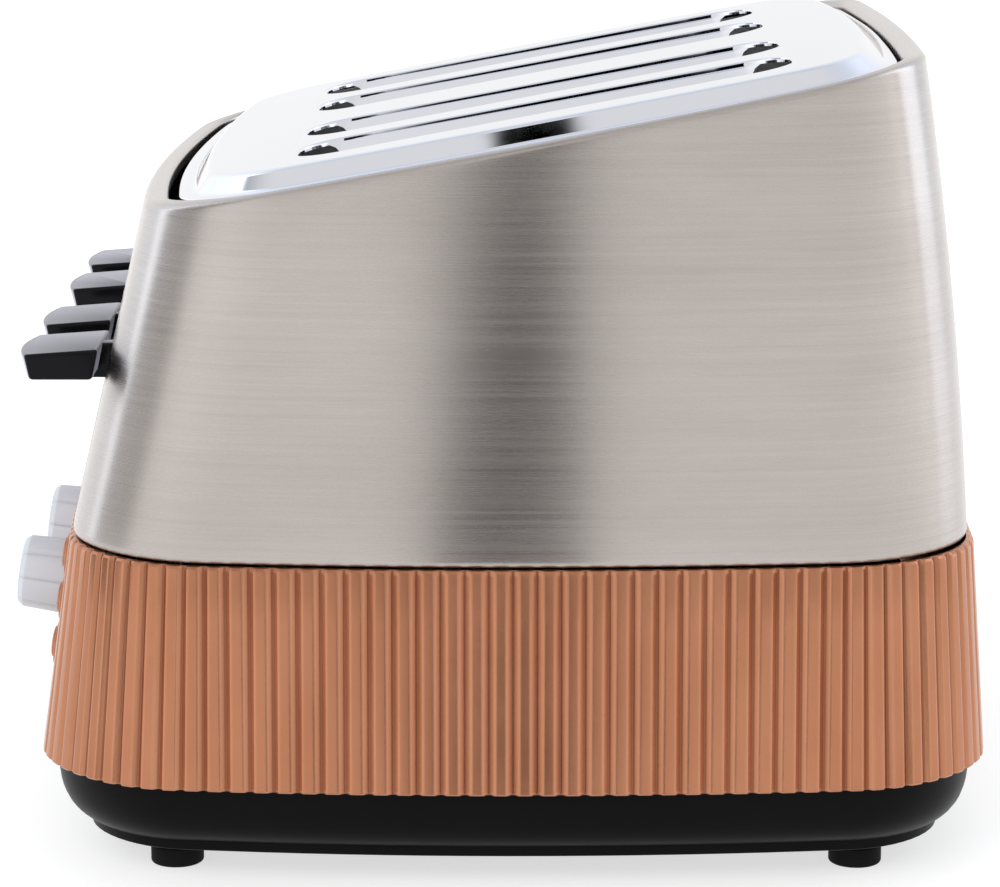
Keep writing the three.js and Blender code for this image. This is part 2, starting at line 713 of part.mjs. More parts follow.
// One carriage: the bread rack, the arm through the front plate, the slider on its rod, the blade that
// carries the lever's handle, and a keeper that the holding magnet grips.
function carriage(x) {
  const half = BLADE / 2;
  const rackBottom = RACK_TOP - 1.5;
  const rack = box([x - RACK_WIDTH / 2, RACK_FRONT, rackBottom], [x + RACK_WIDTH / 2, RACK_REAR, RACK_TOP]);
  const rib = box([x - half, RACK_FRONT, RACK_TOP - 8], [x + half, RACK_REAR, RACK_TOP - 0.5]);
  const arm = box([x - half, SLIDER_Y, RACK_TOP - 8], [x + half, RACK_FRONT + 1, RACK_TOP - 0.5]);
  const blade = box([x - half, BLADE_FRONT, BLADE_BOTTOM], [x + half, SLIDER_Y, BLADE_TOP]);
  const block = new THREE.BoxGeometry(13, 12, SLIDER_LENGTH);
  const bore = alongRod(post(ROD_RADIUS + GAP, -60, 60), x);
  const inward = Math.sign(x) * Math.sign(Math.abs(x) - TRAY_X);
  const near = x - inward * 5;
  const far = x - inward * 18;
  const { y, z } = onRod(-SLIDER_LENGTH / 2 + 3);
  const keeper = box([Math.min(near, far), y - 5, z - 1.5], [Math.max(near, far), y + 5, z + 1.5]);
  return shaped([rack, rib, arm, blade, alongRod(block, x), keeper], [bore]);
}

// The handle: a slab with a bulged front that tapers to its underside, and a neck that passes through the
// shell round the blade. The slab's rear follows the shell's bowed front.
function leverHandle(x) {
  const arcSteps = 6;
  const innerEdge = (Math.abs(x) - HANDLE_WIDTH / 2) / SHELL_HALF_WIDTH;
  const rear = HANDLE_REAR + SHELL_FRONT_BOW * innerEdge * innerEdge;
  const ring = (z, distance, taper, rise) => {
    const half = HANDLE_WIDTH / 2 - distance;
    const low = HANDLE_FRONT + distance + taper;
    const high = rear - distance - taper;
    const points = [new THREE.Vector3(x - half, high, z + rise)];
    for (let step = 0; step <= arcSteps; step++) {
      const across = (2 * step) / arcSteps - 1;
      points.push(new THREE.Vector3(x + half * across, low + HANDLE_BULGE * across * across, z));
    }
    points.push(new THREE.Vector3(x + half, high, z + rise));
    return points;
  };
  const edge = 0.8;
  const slab = loft(
    [
      ring(HANDLE_BOTTOM, edge, HANDLE_TAPER, 0),
      ring(HANDLE_BOTTOM + edge, 0, HANDLE_TAPER - 0.2, 0),
      ring(HANDLE_TOP - edge, 0, 0, HANDLE_RISE),
      ring(HANDLE_TOP, edge, 0, HANDLE_RISE),
    ],
    false,
  );
  const neck = box(
    [x - NECK_WIDTH / 2, rear - 4, NECK_BOTTOM],
    [x + NECK_WIDTH / 2, NECK_END, NECK_TOP],
  );
  const pocket = box(
    [x - BLADE / 2 - GAP, BLADE_FRONT - GAP, BLADE_BOTTOM - GAP],
    [x + BLADE / 2 + GAP, NECK_END + 5, BLADE_TOP + GAP],
  );
  return shaped([slab, neck], [pocket]);
}

// The electromagnet that holds the carriages of one side down, on a bracket from the base.
function holdMagnet() {
  const { y } = onRod(-49);
  const top = onRod(-SLIDER_LENGTH / 2 + 3 - LEVER_TRAVEL).z - 1.5 - 0.6;
  const core = box([-13, y - 5, top - 20], [13, y + 5, top - 14]);
  const poles = [-10, 0, 10].map((x) => box([x - 2.5, y - 5, top - 15], [x + 2.5, y + 5, top]));
  const bobbin = box([-6, y - 7.5, top - 12.5], [6, y + 7.5, top - 2]);
  const bracket = box([-13, y - 1, BASE_BOTTOM + BASE_WALL + GAP], [13, y + 1, top - 19]);
  return shaped([core, ...poles, bobbin, bracket], []);
}

// ---- Controls --------------------------------------------------------------------------------------

// A fluted knob with a chamfered nose and a spigot that plugs into the potentiometer.
function browningKnob() {
  const pointsPerFlute = 6;
  const count = KNOB_FLUTES * pointsPerFlute;
  const ring = (z, radius) =>
    Array.from({ length: count }, (_, i) => {
      const angle = (2 * Math.PI * i) / count;
      const dip = i % pointsPerFlute === 0 ? 0.9 : 0;
      return new THREE.Vector3((radius - dip) * Math.cos(angle), (radius - dip) * Math.sin(angle), z);
    });
  const nose = KNOB_STANDOFF + KNOB_LENGTH;
  const grip = loft(
    [ring(KNOB_STANDOFF, KNOB_RADIUS), ring(nose - 1.4, KNOB_RADIUS - 0.6), ring(nose, KNOB_RADIUS - 2)],
    false,
  );
  return shaped([grip, post(SPIGOT_RADIUS, -11, KNOB_STANDOFF + 1)], []);
}

function potentiometer() {
  const bore = SPIGOT_RADIUS + GAP;
  return turned([[bore, -14], [8.5, -14], [8.5, -6], [5, -6], [5, -3.5], [bore, -3.5], [bore, -14]]);
}

// A button: a low dome, a flange that keeps it behind the band, and a stem that stops short of the board
// when the button is pressed.
function button() {
  const flange = BUTTON_RADIUS + 1.2;
  return turned(
    [
      [0, -STEM_END], [2, -STEM_END], [2, -4.4], [flange, -4.4], [flange, -3.2], [BUTTON_RADIUS, -3.2],
      [BUTTON_RADIUS, 0.5], [BUTTON_RADIUS - 1.2, 1.2], [0, BUTTON_TRAVEL],
    ],
    12,
  );
}

function controlBoard() {
  return box([-46, -19, -BOARD_DEPTH], [46, 20, -BOARD_DEPTH + 1.6]);
}

// ---- Assembly --------------------------------------------------------------------------------------

function piece(name, geometry, material) {
  const mesh = new THREE.Mesh(geometry, new THREE.MeshStandardMaterial(material));
  mesh.name = name;
  return mesh;
}

function placed(mesh, x, y, z) {
  mesh.position.set(x, y, z);
  return mesh;
}

const sideName = (side) => (side < 0 ? "left" : "right");

function housing() {
  const group = new THREE.Group();
  const plate = placed(piece("top_plate", topPlate(), CHROME), 0, 0, TOP_HEIGHT);
  plate.rotation.x = TOP_TILT;
  group.add(piece("outer_shell", outerShell(), BRUSHED_STEEL));
  group.add(plate);
  group.add(piece("ribbed_band", ribbedBand(), COPPER_PAINT));
  group.add(piece("base_tray", baseTray(), BLACK_PLASTIC));
  SIDES.forEach((side) => {
    FOOT_Y.forEach((y, row) => {
      const name = `foot_${row ? "rear" : "front"}_${sideName(side)}`;
      group.add(placed(piece(name, foot(), RUBBER), side * FOOT_X, y, 0));
    });
    const tray = piece(`crumb_tray_${sideName(side)}`, crumbTray(), PLATED_STEEL);
    group.add(placed(tray, side * TRAY_X, 0, BASE_BOTTOM + BASE_WALL + GAP));
  });
  const gland = placed(piece("cord_gland", cordGland(), RUBBER), 0, GLAND_INNER_Y, GLAND_Z);
  gland.rotation.x = -Math.PI / 2;
  group.add(gland);
  return group;
}

function chambers() {
  const group = new THREE.Group();
  group.add(piece("front_end_plate", frontEndPlate(), PLATED_STEEL));
  group.add(piece("rear_end_plate", rearEndPlate(), PLATED_STEEL));
  SIDES.forEach((side) => {
    const sheet = chamberSheet(side * SHIELD_X, 45, TOP_THICKNESS + 1.5, 0.8);
    group.add(piece(`heat_shield_${sideName(side)}`, sheet, PLATED_STEEL));
  });
  group.add(piece("centre_divider", chamberSheet(0, 45, TOP_THICKNESS + 1.5, 1.2), PLATED_STEEL));
  HEATER_X.forEach((x, i) => group.add(piece(`heater_${i + 1}`, heater(x), MICA)));
  SLOT_X.forEach((x, i) => {
    SIDES.forEach((side) => {
      group.add(piece(`guard_${i + 1}_${sideName(side)}`, guard(x + side * GUARD_OFFSET), WIRE_STEEL));
    });
  });
  return group;
}

function mechanisms() {
  const group = new THREE.Group();
  SLOT_X.forEach((x, i) => {
    group.add(piece(`carriage_${i + 1}`, carriage(x), PLATED_STEEL));
    group.add(piece(`lever_handle_${i + 1}`, leverHandle(x), GLOSS_BLACK));
    group.add(piece(`guide_rod_${i + 1}`, guideRod(x), WIRE_STEEL));
    group.add(piece(`return_spring_${i + 1}`, returnSpring(x), WIRE_STEEL));
  });
  SIDES.forEach((side) => {
    const magnet = piece(`hold_magnet_${sideName(side)}`, holdMagnet(), MAGNET_STEEL);
    group.add(placed(magnet, side * TRAY_X, 0, 0));
  });
  return group;
}

function controls() {
  const group = new THREE.Group();
  const names = ["cancel", "reheat", "defrost"];
  SIDES.forEach((side) => {
    const end = sideName(side);
    const knobMount = controlMount(side * KNOB_X, KNOB_Z);
    knobMount.add(piece(`browning_knob_${end}`, browningKnob(), SILVER_PLASTIC));
    knobMount.add(piece(`potentiometer_${end}`, potentiometer(), PLATED_STEEL));
    group.add(knobMount);
    BUTTON_Z.forEach((z, i) => {
      const mount = controlMount(side * BUTTON_X, z);
      mount.add(piece(`${names[i]}_button_${end}`, button(), SILVER_PLASTIC));
      group.add(mount);
    });
    const boardMount = controlMount(side * KNOB_X, KNOB_Z);
    boardMount.add(placed(piece(`control_board_${end}`, controlBoard(), CIRCUIT_BOARD), side * 18, 0, 0));
    group.add(boardMount);
  });
  return group;
}

const toaster = new THREE.Group();
const frame = new THREE.Group();
frame.position.y = ORIGIN_SHIFT_Y;
frame.add(housing(), chambers(), mechanisms(), controls());
toaster.add(frame);

export default toaster;
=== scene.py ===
"""The looks of a four-slot pop-up toaster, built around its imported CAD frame.

Shapes are worked out in millimetres, in the frame's own axes, and become metres as each mesh is made.
"""

import json
import math

import bmesh
import bpy
import numpy as np
from mathutils import Matrix, Vector
from mathutils.geometry import tessellate_polygon


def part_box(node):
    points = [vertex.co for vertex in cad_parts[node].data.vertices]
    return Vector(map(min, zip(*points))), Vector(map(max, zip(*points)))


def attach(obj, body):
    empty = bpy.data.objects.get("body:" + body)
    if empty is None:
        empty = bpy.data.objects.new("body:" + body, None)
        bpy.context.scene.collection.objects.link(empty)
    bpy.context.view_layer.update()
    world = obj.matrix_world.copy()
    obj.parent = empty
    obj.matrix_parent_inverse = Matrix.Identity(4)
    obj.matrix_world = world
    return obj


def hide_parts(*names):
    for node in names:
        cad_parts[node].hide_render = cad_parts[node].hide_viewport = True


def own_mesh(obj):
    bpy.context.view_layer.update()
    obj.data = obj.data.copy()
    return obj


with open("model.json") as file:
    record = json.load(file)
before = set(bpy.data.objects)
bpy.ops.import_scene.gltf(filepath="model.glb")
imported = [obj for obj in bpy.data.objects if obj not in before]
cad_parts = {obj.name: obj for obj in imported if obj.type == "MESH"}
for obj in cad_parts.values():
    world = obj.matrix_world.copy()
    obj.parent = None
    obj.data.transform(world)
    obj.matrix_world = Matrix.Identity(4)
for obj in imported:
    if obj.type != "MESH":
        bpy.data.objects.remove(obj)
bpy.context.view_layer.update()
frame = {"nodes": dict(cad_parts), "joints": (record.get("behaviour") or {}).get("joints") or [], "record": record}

MM = 0.001
SIDES = ("left", "right")
BUTTONS = ("cancel", "reheat", "defrost")
FEET = [f"foot_{end}_{side}" for end in ("front", "rear") for side in SIDES]
JOINTS = {joint["name"]: joint for joint in frame["joints"]}


def box_mm(node):
    """A CAD node's lowest and highest corners in millimetres."""
    low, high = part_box(node)
    return np.array(low) / MM, np.array(high) / MM


def middle_mm(node):
    low, high = box_mm(node)
    return (low + high) / 2


# The shapes were drawn round their own middle; the frame's origin lies this much further forward.
ORIGIN_Y = box_mm("rear_end_plate")[0][1] - 86.1


# ---- Mesh helpers ----


def add_object(name, data):
    obj = bpy.data.objects.new(name, data)
    bpy.context.scene.collection.objects.link(obj)
    return obj


def mesh_object(name, points, faces, uvs=None):
    """An object from points in millimetres; uvs holds one (u, v) for each corner of each face."""
    mesh = bpy.data.meshes.new(name)
    mesh.from_pydata([tuple(p) for p in np.asarray(points, float) * MM], [], faces)
    if uvs is not None:
        layer = mesh.uv_layers.new(name="surface")
        layer.data.foreach_set("uv", np.asarray(uvs, np.float32).ravel())
    mesh.validate()
    mesh.update()
    return add_object(name, mesh)


def smooth(obj, degrees=35):
    """Smooth shading that keeps the edges that turn by more than this angle."""
    obj.data.polygons.foreach_set("use_smooth", [True] * len(obj.data.polygons))
    obj.data.set_sharp_from_angle(angle=math.radians(degrees))
    obj.data.update()
    return obj


def apply_modifiers(obj):
    graph = bpy.context.evaluated_depsgraph_get()
    mesh = bpy.data.meshes.new_from_object(obj.evaluated_get(graph))
    obj.modifiers.clear()
    old = obj.data
    obj.data = mesh
    bpy.data.meshes.remove(old)
    return obj


def join(name, objects):
    """One object from several, with their material slots kept."""
    mesh = bpy.data.meshes.new(name)
    whole = bmesh.new()
    materials = []
    for obj in objects:
        slots = [slot.material for slot in obj.material_slots] or [None]
        for material in slots:
            if material not in materials:
                materials.append(material)
        start = len(whole.faces)
        part = obj.data.copy()
        part.transform(obj.matrix_world)
        whole.from_mesh(part)
        whole.faces.ensure_lookup_table()
        for face in whole.faces[start:]:
            face.material_index = materials.index(slots[min(face.material_index, len(slots) - 1)])
        bpy.data.meshes.remove(part)
    whole.to_mesh(mesh)
    whole.free()
    for material in materials:
        if material:
            mesh.materials.append(material)
    for obj in objects:
        bpy.data.objects.remove(obj)
    return add_object(name, mesh)


def combine(obj, tool, operation):
    """A Boolean with a tool, which is used up."""
    modifier = obj.modifiers.new("combine", "BOOLEAN")
    modifier.operation = operation
    modifier.solver = "EXACT"
    modifier.object = tool
    apply_modifiers(obj)
    bpy.data.objects.remove(tool)


def cut(obj, cutters):
    combine(obj, join("cutter", cutters), "DIFFERENCE")


def rounded(profile, radii, steps=5):
    """A polyline of (a, b) points whose inner corners become arcs of the given radii."""
    points = [np.array(p, float) for p in profile]
    out = [points[0]]
    for i in range(1, len(points) - 1):
        radius = radii[i - 1]
        before = points[i - 1] - points[i]
        after = points[i + 1] - points[i]
        reach_before, reach_after = np.linalg.norm(before), np.linalg.norm(after)
        before, after = before / reach_before, after / reach_after
        half = math.acos(max(-1, min(1, float(before @ after)))) / 2
        if radius <= 0 or half > math.radians(89):
            out.append(points[i])
            continue
        reach = min(radius / math.tan(half), 0.49 * reach_before, 0.49 * reach_after)
        radius = reach * math.tan(half)
        middle = before + after
        centre = points[i] + middle / np.linalg.norm(middle) * radius / math.sin(half)
        start = points[i] + before * reach - centre
        end = points[i] + after * reach - centre
        turn = math.pi - 2 * half
        for step in range(steps + 1):
            share = step / steps
            weight_a = math.sin((1 - share) * turn) / math.sin(turn)
            weight_b = math.sin(share * turn) / math.sin(turn)
            out.append(centre + weight_a * start + weight_b * end)
    out.append(points[-1])
    return out


def loft(name, rings, hollow=False):
    """Rings of points joined into a closed surface: a hollow one comes back to its first ring.

    Its UVs are in metres, with u along each ring and v across the rings.
    """
    rings = [np.asarray(ring, float) for ring in rings]
    count = len(rings[0])
    points = np.concatenate(rings)
    last = len(rings) if hollow else len(rings) - 1
    around = [np.linalg.norm(np.roll(ring, -1, axis=0) - ring, axis=1) for ring in rings]
    u = [np.concatenate([[0], np.cumsum(steps)]) for steps in around]
    across = [np.linalg.norm(rings[(k + 1) % len(rings)] - rings[k], axis=1).mean() for k in range(last)]
    v = np.concatenate([[0], np.cumsum(across)])
    faces, uvs = [], []
    for row in range(last):
        above = (row + 1) % len(rings)
        for i in range(count):
            j = (i + 1) % count
            faces.append((row * count + i, row * count + j, above * count + j, above * count + i))
            uvs += [(u[row][i], v[row]), (u[row][i + 1], v[row])]
            uvs += [(u[above][i + 1], v[row + 1]), (u[above][i], v[row + 1])]
    if not hollow:
        faces.append(tuple(reversed(range(count))))
        uvs += [(p[0], p[1]) for p in reversed(rings[0])]
        top = last * count
        faces.append(tuple(top + i for i in range(count)))
        uvs += [(p[0], p[1]) for p in rings[-1]]
    return mesh_object(name, points, faces, np.asarray(uvs) * MM)


def lathe(name, profile, segments=64):
    """A turned piece about Z from (radius, z) points; ends on the axis are closed to a point."""
    angles = np.linspace(0, 2 * math.pi, segments, endpoint=False)
    points, rows = [], []
    for radius, z in profile:
        if radius < 1e-6:
            rows.append([len(points)] * segments)
            points.append((0, 0, z))
        else:
            rows.append([len(points) + i for i in range(segments)])
            points += [(radius * math.cos(a), radius * math.sin(a), z) for a in angles]
    faces = []
    for low, high in zip(rows, rows[1:]):
        for i in range(segments):
            j = (i + 1) % segments
            corner = list(dict.fromkeys((low[i], low[j], high[j], high[i])))
            if len(corner) > 2:
                faces.append(tuple(corner))
    return mesh_object(name, points, faces)


def rod(name, radius, start, end, segments=32):
    return lathe(name, [(0, start), (radius, start), (radius, end), (0, end)], segments)


def rounded_box(name, low, high, radius):
    corners = [(x, y, z) for z in (low[2], high[2]) for y in (low[1], high[1]) for x in (low[0], high[0])]
    faces = [(0, 2, 3, 1), (4, 5, 7, 6), (0, 1, 5, 4), (2, 6, 7, 3), (0, 4, 6, 2), (1, 3, 7, 5)]
    obj = mesh_object(name, corners, faces)
    if radius:
        bevel = obj.modifiers.new("edges", "BEVEL")
        bevel.width = radius * MM
        bevel.segments = 3
        bevel.limit_method = "ANGLE"
        apply_modifiers(obj)
        smooth(obj, 50)
    return obj


def tube(name, path, radius, sides=8):
    """A round wire along a path of points, with flat ends."""
    path = [Vector(p) for p in path]
    rings = []
    normal = None
    for i in range(len(path)):
        along = (path[min(i + 1, len(path) - 1)] - path[max(i - 1, 0)]).normalized()
        if normal is None:
            normal = along.orthogonal().normalized()
        normal = (normal - along * normal.dot(along)).normalized()
        side = along.cross(normal)
        ring = []
        for k in range(sides):
            angle = 2 * math.pi * k / sides
            ring.append(path[i] + (normal * math.cos(angle) + side * math.sin(angle)) * radius)
        rings.append(ring)
    return smooth(loft(name, rings), 60)


def placed(obj, matrix):
    obj.data.transform(matrix)
    obj.data.update()
    return obj


def shift(x, y, z):
    return Matrix.Translation(Vector((x, y, z)) * MM)


def moved_over(obj, node):
    """Moves a piece made round the Z axis to a CAD node's middle, seen from above."""
    x, y, _ = middle_mm(node)
    return placed(obj, shift(x, y, 0))


def facing_back(obj, y, z):
    """Turns a piece made along Z to run backwards from y, in the toaster's middle plane."""
    return placed(obj, shift(0, y, z) @ Matrix.Rotation(-math.pi / 2, 4, "X"))


def painted(obj, material):
    obj.data.materials.clear()
    obj.data.materials.append(material)
    return obj


# ---- Plan outlines ----


def stations(per_side, per_end, per_corner):
    """Places on a plan's outline, as (stretch, fraction) pairs."""
    steps = [per_side, per_corner, per_end, per_corner] * 2
    return [(stretch, step / count) for stretch, count in enumerate(steps) for step in range(count)]


def from_rear(places):
    """The same places, starting from the middle of the rear, where a texture's seam shows least."""
    first = next(i for i, (stretch, fraction) in enumerate(places) if stretch == 2 and fraction >= 0.5)
    return places[first:] + places[:first]


class Plan:
    """A rounded rectangle with bowed sides, seen from above."""

    def __init__(self, half_width, front, rear, corner, side_bow=0, front_bow=0, rear_bow=0):
        self.values = np.array([half_width, front, rear, corner, side_bow, front_bow, rear_bow], float)

    def inset(self, distance):
        return Plan(*(self.values + np.array([-1, 1, -1, -1, 0, 0, 0]) * distance))

    def towards(self, other, share):
        return Plan(*(self.values + (other.values - self.values) * share))

    def point(self, stretch, fraction):
        half_width, front, rear, corner, side_bow, front_bow, rear_bow = self.values
        side = half_width - corner
        depth = rear - front - 2 * corner
        starts = [
            (half_width, front + corner), (side, rear - corner), (side, rear), (-side, rear - corner),
            (-half_width, rear - corner), (-side, front + corner), (-side, front), (side, front + corner),
        ]
        runs = {0: (0, depth), 2: (-2 * side, 0), 4: (0, -depth), 6: (2 * side, 0)}
        x, y = starts[stretch]
        if stretch in runs:
            x += runs[stretch][0] * fraction
            y += runs[stretch][1] * fraction
        else:
            angle = math.pi / 2 * ((stretch - 1) / 2 + fraction)
            x += corner * math.cos(angle)
            y += corner * math.sin(angle)
        middle, half_depth = (front + rear) / 2, (rear - front) / 2
        along, across = (y - middle) / half_depth, x / half_width
        end_bow = front_bow if y < middle else rear_bow
        return (
            x * (1 - side_bow / half_width * along**2),
            middle + (y - middle) * (1 - end_bow / half_depth * across**2),
        )

    def ring(self, z, places):
        return [(*self.point(*place), z) for place in places]


# ---- Shader helpers ----


class Nodes:
    """Short ways to add nodes to a tree and link them."""

    def __init__(self, tree, end):
        self.nodes, self.links = tree.nodes, tree.links
        self.end = self.nodes[end]

    def add(self, kind, inputs=None, **attributes):
        node = self.nodes.new(kind)
        for key, value in attributes.items():
            setattr(node, key, value)
        for key, value in (inputs or {}).items():
            if isinstance(value, bpy.types.NodeSocket):
                self.links.new(value, node.inputs[key])
            else:
                node.inputs[key].default_value = value
        return node

    def split(self, source):
        """The X, Y and Z of one of the texture coordinates."""
        where = self.add("ShaderNodeTexCoord").outputs[source]
        return self.add("ShaderNodeSeparateXYZ", {"Vector": where}).outputs

    def maths(self, operation, *values):
        return self.add("ShaderNodeMath", dict(enumerate(values)), operation=operation).outputs[0]

    def join(self, name, value):
        self.links.new(value, self.end.inputs[name])


class Shader(Nodes):
    """A material's nodes."""

    def __init__(self, name, **settings):
        self.material = bpy.data.materials.new(name)
        self.material.use_nodes = True
        super().__init__(self.material.node_tree, "Principled BSDF")
        for key, value in settings.items():
            self.end.inputs[key.replace("_", " ")].default_value = value

    def place(self, scale=(1, 1, 1)):
        """Object coordinates, stretched."""
        where = self.add("ShaderNodeTexCoord").outputs["Object"]
        return self.add("ShaderNodeMapping", {"Vector": where, "Scale": scale}).outputs["Vector"]

    def noise(self, place, scale, detail=3, roughness=0.5):
        inputs = {"Vector": place, "Scale": scale, "Detail": detail, "Roughness": roughness}
        return self.add("ShaderNodeTexNoise", inputs).outputs["Fac"]

    def spread(self, value, low, high, from_low=0.0, from_high=1.0):
        inputs = {"Value": value, "To Min": low, "To Max": high, "From Min": from_low, "From Max": from_high}
        return self.add("ShaderNodeMapRange", inputs).outputs["Result"]

    def tint(self, value, dark, light):
        inputs = {0: value, 6: (*dark, 1), 7: (*light, 1)}
        return self.add("ShaderNodeMix", inputs, data_type="RGBA").outputs[2]

    def multiply(self, a, b):
        inputs = {0: 1.0, 6: a, 7: b}
        return self.add("ShaderNodeMix", inputs, data_type="RGBA", blend_type="MULTIPLY").outputs[2]

    def bump(self, height, strength, distance):
        inputs = {"Height": height, "Strength": strength, "Distance": distance}
        return self.add("ShaderNodeBump", inputs).outputs["Normal"]


def brushed_steel():
    """Stainless steel brushed level, round the shell."""
    steel = Shader("brushed_steel", Metallic=1.0, Anisotropic=0.9, Anisotropic_Rotation=0.25)
    around, height = steel.split("UV")["X"], steel.split("Object")["Z"]
    level = steel.add("ShaderNodeCombineXYZ", {"X": around, "Y": height}).outputs["Vector"]

    def brush_marks(across, up, detail, rough):
        place = steel.add("ShaderNodeMapping", {"Vector": level, "Scale": (across, up, 1)}).outputs["Vector"]
        return steel.noise(place, 1.0, detail, rough)

    fine = brush_marks(14, 2400, 4, 0.75)
    streaks = brush_marks(5, 600, 4, 0.7)
    clouds = brush_marks(9, 34, 5, 0.62)
    grain = steel.maths("MULTIPLY", steel.maths("ADD", fine, streaks), 0.5)
    base = steel.tint(steel.spread(grain, 0, 1, 0.38, 0.62), (0.50, 0.455, 0.425), (0.56, 0.513, 0.482))
    shade = steel.tint(steel.spread(clouds, 0, 1, 0.32, 0.68), (0.91, 0.905, 0.90), (1, 1, 1))
    steel.join("Base Color", steel.multiply(base, shade))
    steel.join("Roughness", steel.spread(grain, 0.23, 0.31, 0.3, 0.7))
    steel.join("Normal", steel.bump(grain, 0.12, 0.00003))
    tangent = steel.add("ShaderNodeTangent", direction_type="UV_MAP", uv_map="surface")
    steel.join("Tangent", tangent.outputs["Tangent"])
    return steel.material


def chrome():
    """Polished plate with the faintest waviness and haze."""
    plate = Shader("chrome", Metallic=1.0)
    tint = (0.845, 0.855, 0.905)
    haze = plate.noise(plate.place(), 35, 4, 0.6)
    plate.join("Roughness", plate.spread(haze, 0.035, 0.085, 0.4, 0.75))
    plate.join("Base Color", plate.tint(haze, [0.97 * c for c in tint], tint))
    ripple = plate.noise(plate.place(), 18, 2, 0.4)
    plate.join("Normal", plate.bump(ripple, 0.05, 0.0004))
    return plate.material


def copper_lacquer():
    """Satin metallic lacquer, with a painted highlight on the ribs' flanks and painted shade down in the grooves.
    """
    copper = Shader("copper_lacquer", Metallic=0.8, Specular_IOR_Level=0.5)
    flake = copper.noise(copper.place(), 2600, 2, 0.6)
    mottling = copper.noise(copper.place(scale=(1, 1, 0.35)), 60, 4, 0.6)
    base = copper.tint(copper.spread(mottling, 0, 1, 0.3, 0.7), (0.46, 0.188, 0.098), (0.53, 0.23, 0.127))
    painted_light_share = copper.add("ShaderNodeAttribute", attribute_name="painted_light_share").outputs["Fac"]
    # Painted shade darkens the grooves and a painted highlight lightens the flanks, following each point's share
    # of painted light.
    groove = copper.tint(copper.spread(painted_light_share, 0, 1, 0, 0.38), (0.50, 0.42, 0.38), (0.92, 0.91, 0.90))
    painted_rib_light = copper.tint(copper.spread(painted_light_share, 0, 1, 0.4, 1.0), (1, 1, 1), (1.12, 1.19, 1.25))
    copper.join("Base Color", copper.multiply(copper.multiply(base, groove), painted_rib_light))
    copper.join("Roughness", copper.spread(mottling, 0.2, 0.27, 0.3, 0.7))
    copper.join("Normal", copper.bump(flake, 0.10, 0.00005))
    return copper.material


def moulded(name, dark, light, rough=(0.35, 0.5), grain=2200, depth=0.00006, shine=0.5, **settings):
    """Moulded plastic or rubber with a fine spark-eroded grain."""
    plastic = Shader(name, Specular_IOR_Level=shine, **settings)
    pores = plastic.noise(plastic.place(), grain, 3, 0.6)
    clouds = plastic.noise(plastic.place(), 30, 4, 0.6)
    plastic.join("Base Color", plastic.tint(clouds, dark, light))
    plastic.join("Roughness", plastic.spread(clouds, rough[0], rough[1], 0.3, 0.7))
    plastic.join("Normal", plastic.bump(pores, 0.25, depth))
    return plastic.material


def sheet_metal(name, dark, light, rough=(0.3, 0.45)):
    """Plain rolled or plated sheet with faint spangle and rolling marks."""
    sheet = Shader(name, Metallic=1.0)
    spangle = sheet.noise(sheet.place(), 240, 4, 0.65)
    rolling = sheet.noise(sheet.place(scale=(1, 1, 14)), 40, 3, 0.6)
    mix = sheet.maths("MULTIPLY", sheet.maths("ADD", spangle, rolling), 0.5)
    sheet.join("Base Color", sheet.tint(sheet.spread(mix, 0, 1, 0.35, 0.65), dark, light))
    sheet.join("Roughness", sheet.spread(mix, rough[0], rough[1], 0.35, 0.65))
    sheet.join("Normal", sheet.bump(mix, 0.1, 0.0001))
    return sheet.material


def mica_card():
    mica = Shader("mica")
    flakes = mica.noise(mica.place(), 420, 5, 0.7)
    layers = mica.add("ShaderNodeTexVoronoi", {"Vector": mica.place(), "Scale": 380.0}).outputs["Distance"]
    mottled = mica.spread(flakes, 0, 1, 0.3, 0.7)
    mica.join("Base Color", mica.tint(mottled, (0.26, 0.19, 0.11), (0.50, 0.41, 0.27)))
    mica.join("Roughness", mica.spread(layers, 0.35, 0.7))
    mica.join("Normal", mica.bump(flakes, 0.3, 0.0002))
    return mica.material


def circuit_board():
    board = Shader("circuit_board", Coat_Weight=0.4)
    resist = {"Color1": (0.01, 0.10, 0.035, 1), "Color2": (0.012, 0.13, 0.045, 1)}
    inputs = {"Vector": board.place(scale=(420, 420, 420)), "Scale": 1.0, "Mortar": (0.03, 0.22, 0.08, 1)}
    tracks = board.add("ShaderNodeTexBrick", {**inputs, **resist})
    board.join("Base Color", tracks.outputs["Color"])
    board.join("Roughness", board.spread(board.noise(board.place(), 300), 0.3, 0.5))
    return board.material


STEEL = brushed_steel()
CHROME = chrome()
COPPER = copper_lacquer()
BLACK_PLASTIC = moulded(
    "black_plastic", (0.002, 0.002, 0.0025), (0.004, 0.004, 0.0045), (0.3, 0.42), shine=0.07,
)
GLOSS_BLACK = moulded(
    "gloss_black", (0.003, 0.003, 0.004), (0.005, 0.005, 0.006), (0.14, 0.2), 1400, 0.00001, 0.12,
    Sheen_Weight=1.0, Sheen_Roughness=0.3, Sheen_Tint=(0.85, 0.85, 1.0, 1),
)
SILVER = moulded("silver_plastic", (0.59, 0.615, 0.67), (0.66, 0.685, 0.74), (0.3, 0.42), 2600, 0.00003)
RUBBER = moulded("rubber", (0.003, 0.003, 0.003), (0.006, 0.006, 0.006), (0.6, 0.8), 1500, 0.0001, 0.12)
PRINT = moulded("dial_print", (0.05, 0.05, 0.055), (0.07, 0.07, 0.075), (0.4, 0.5))
PLATED = sheet_metal("plated_steel", (0.42, 0.43, 0.44), (0.58, 0.59, 0.60))
WIRE = sheet_metal("wire_steel", (0.58, 0.58, 0.59), (0.70, 0.70, 0.71), (0.2, 0.32))
RIBBON = sheet_metal("heating_ribbon", (0.24, 0.21, 0.19), (0.36, 0.32, 0.29), (0.3, 0.5))
MAGNET = sheet_metal("magnet_steel", (0.16, 0.15, 0.14), (0.24, 0.22, 0.21), (0.4, 0.55))
MICA = mica_card()
BOARD = circuit_board()


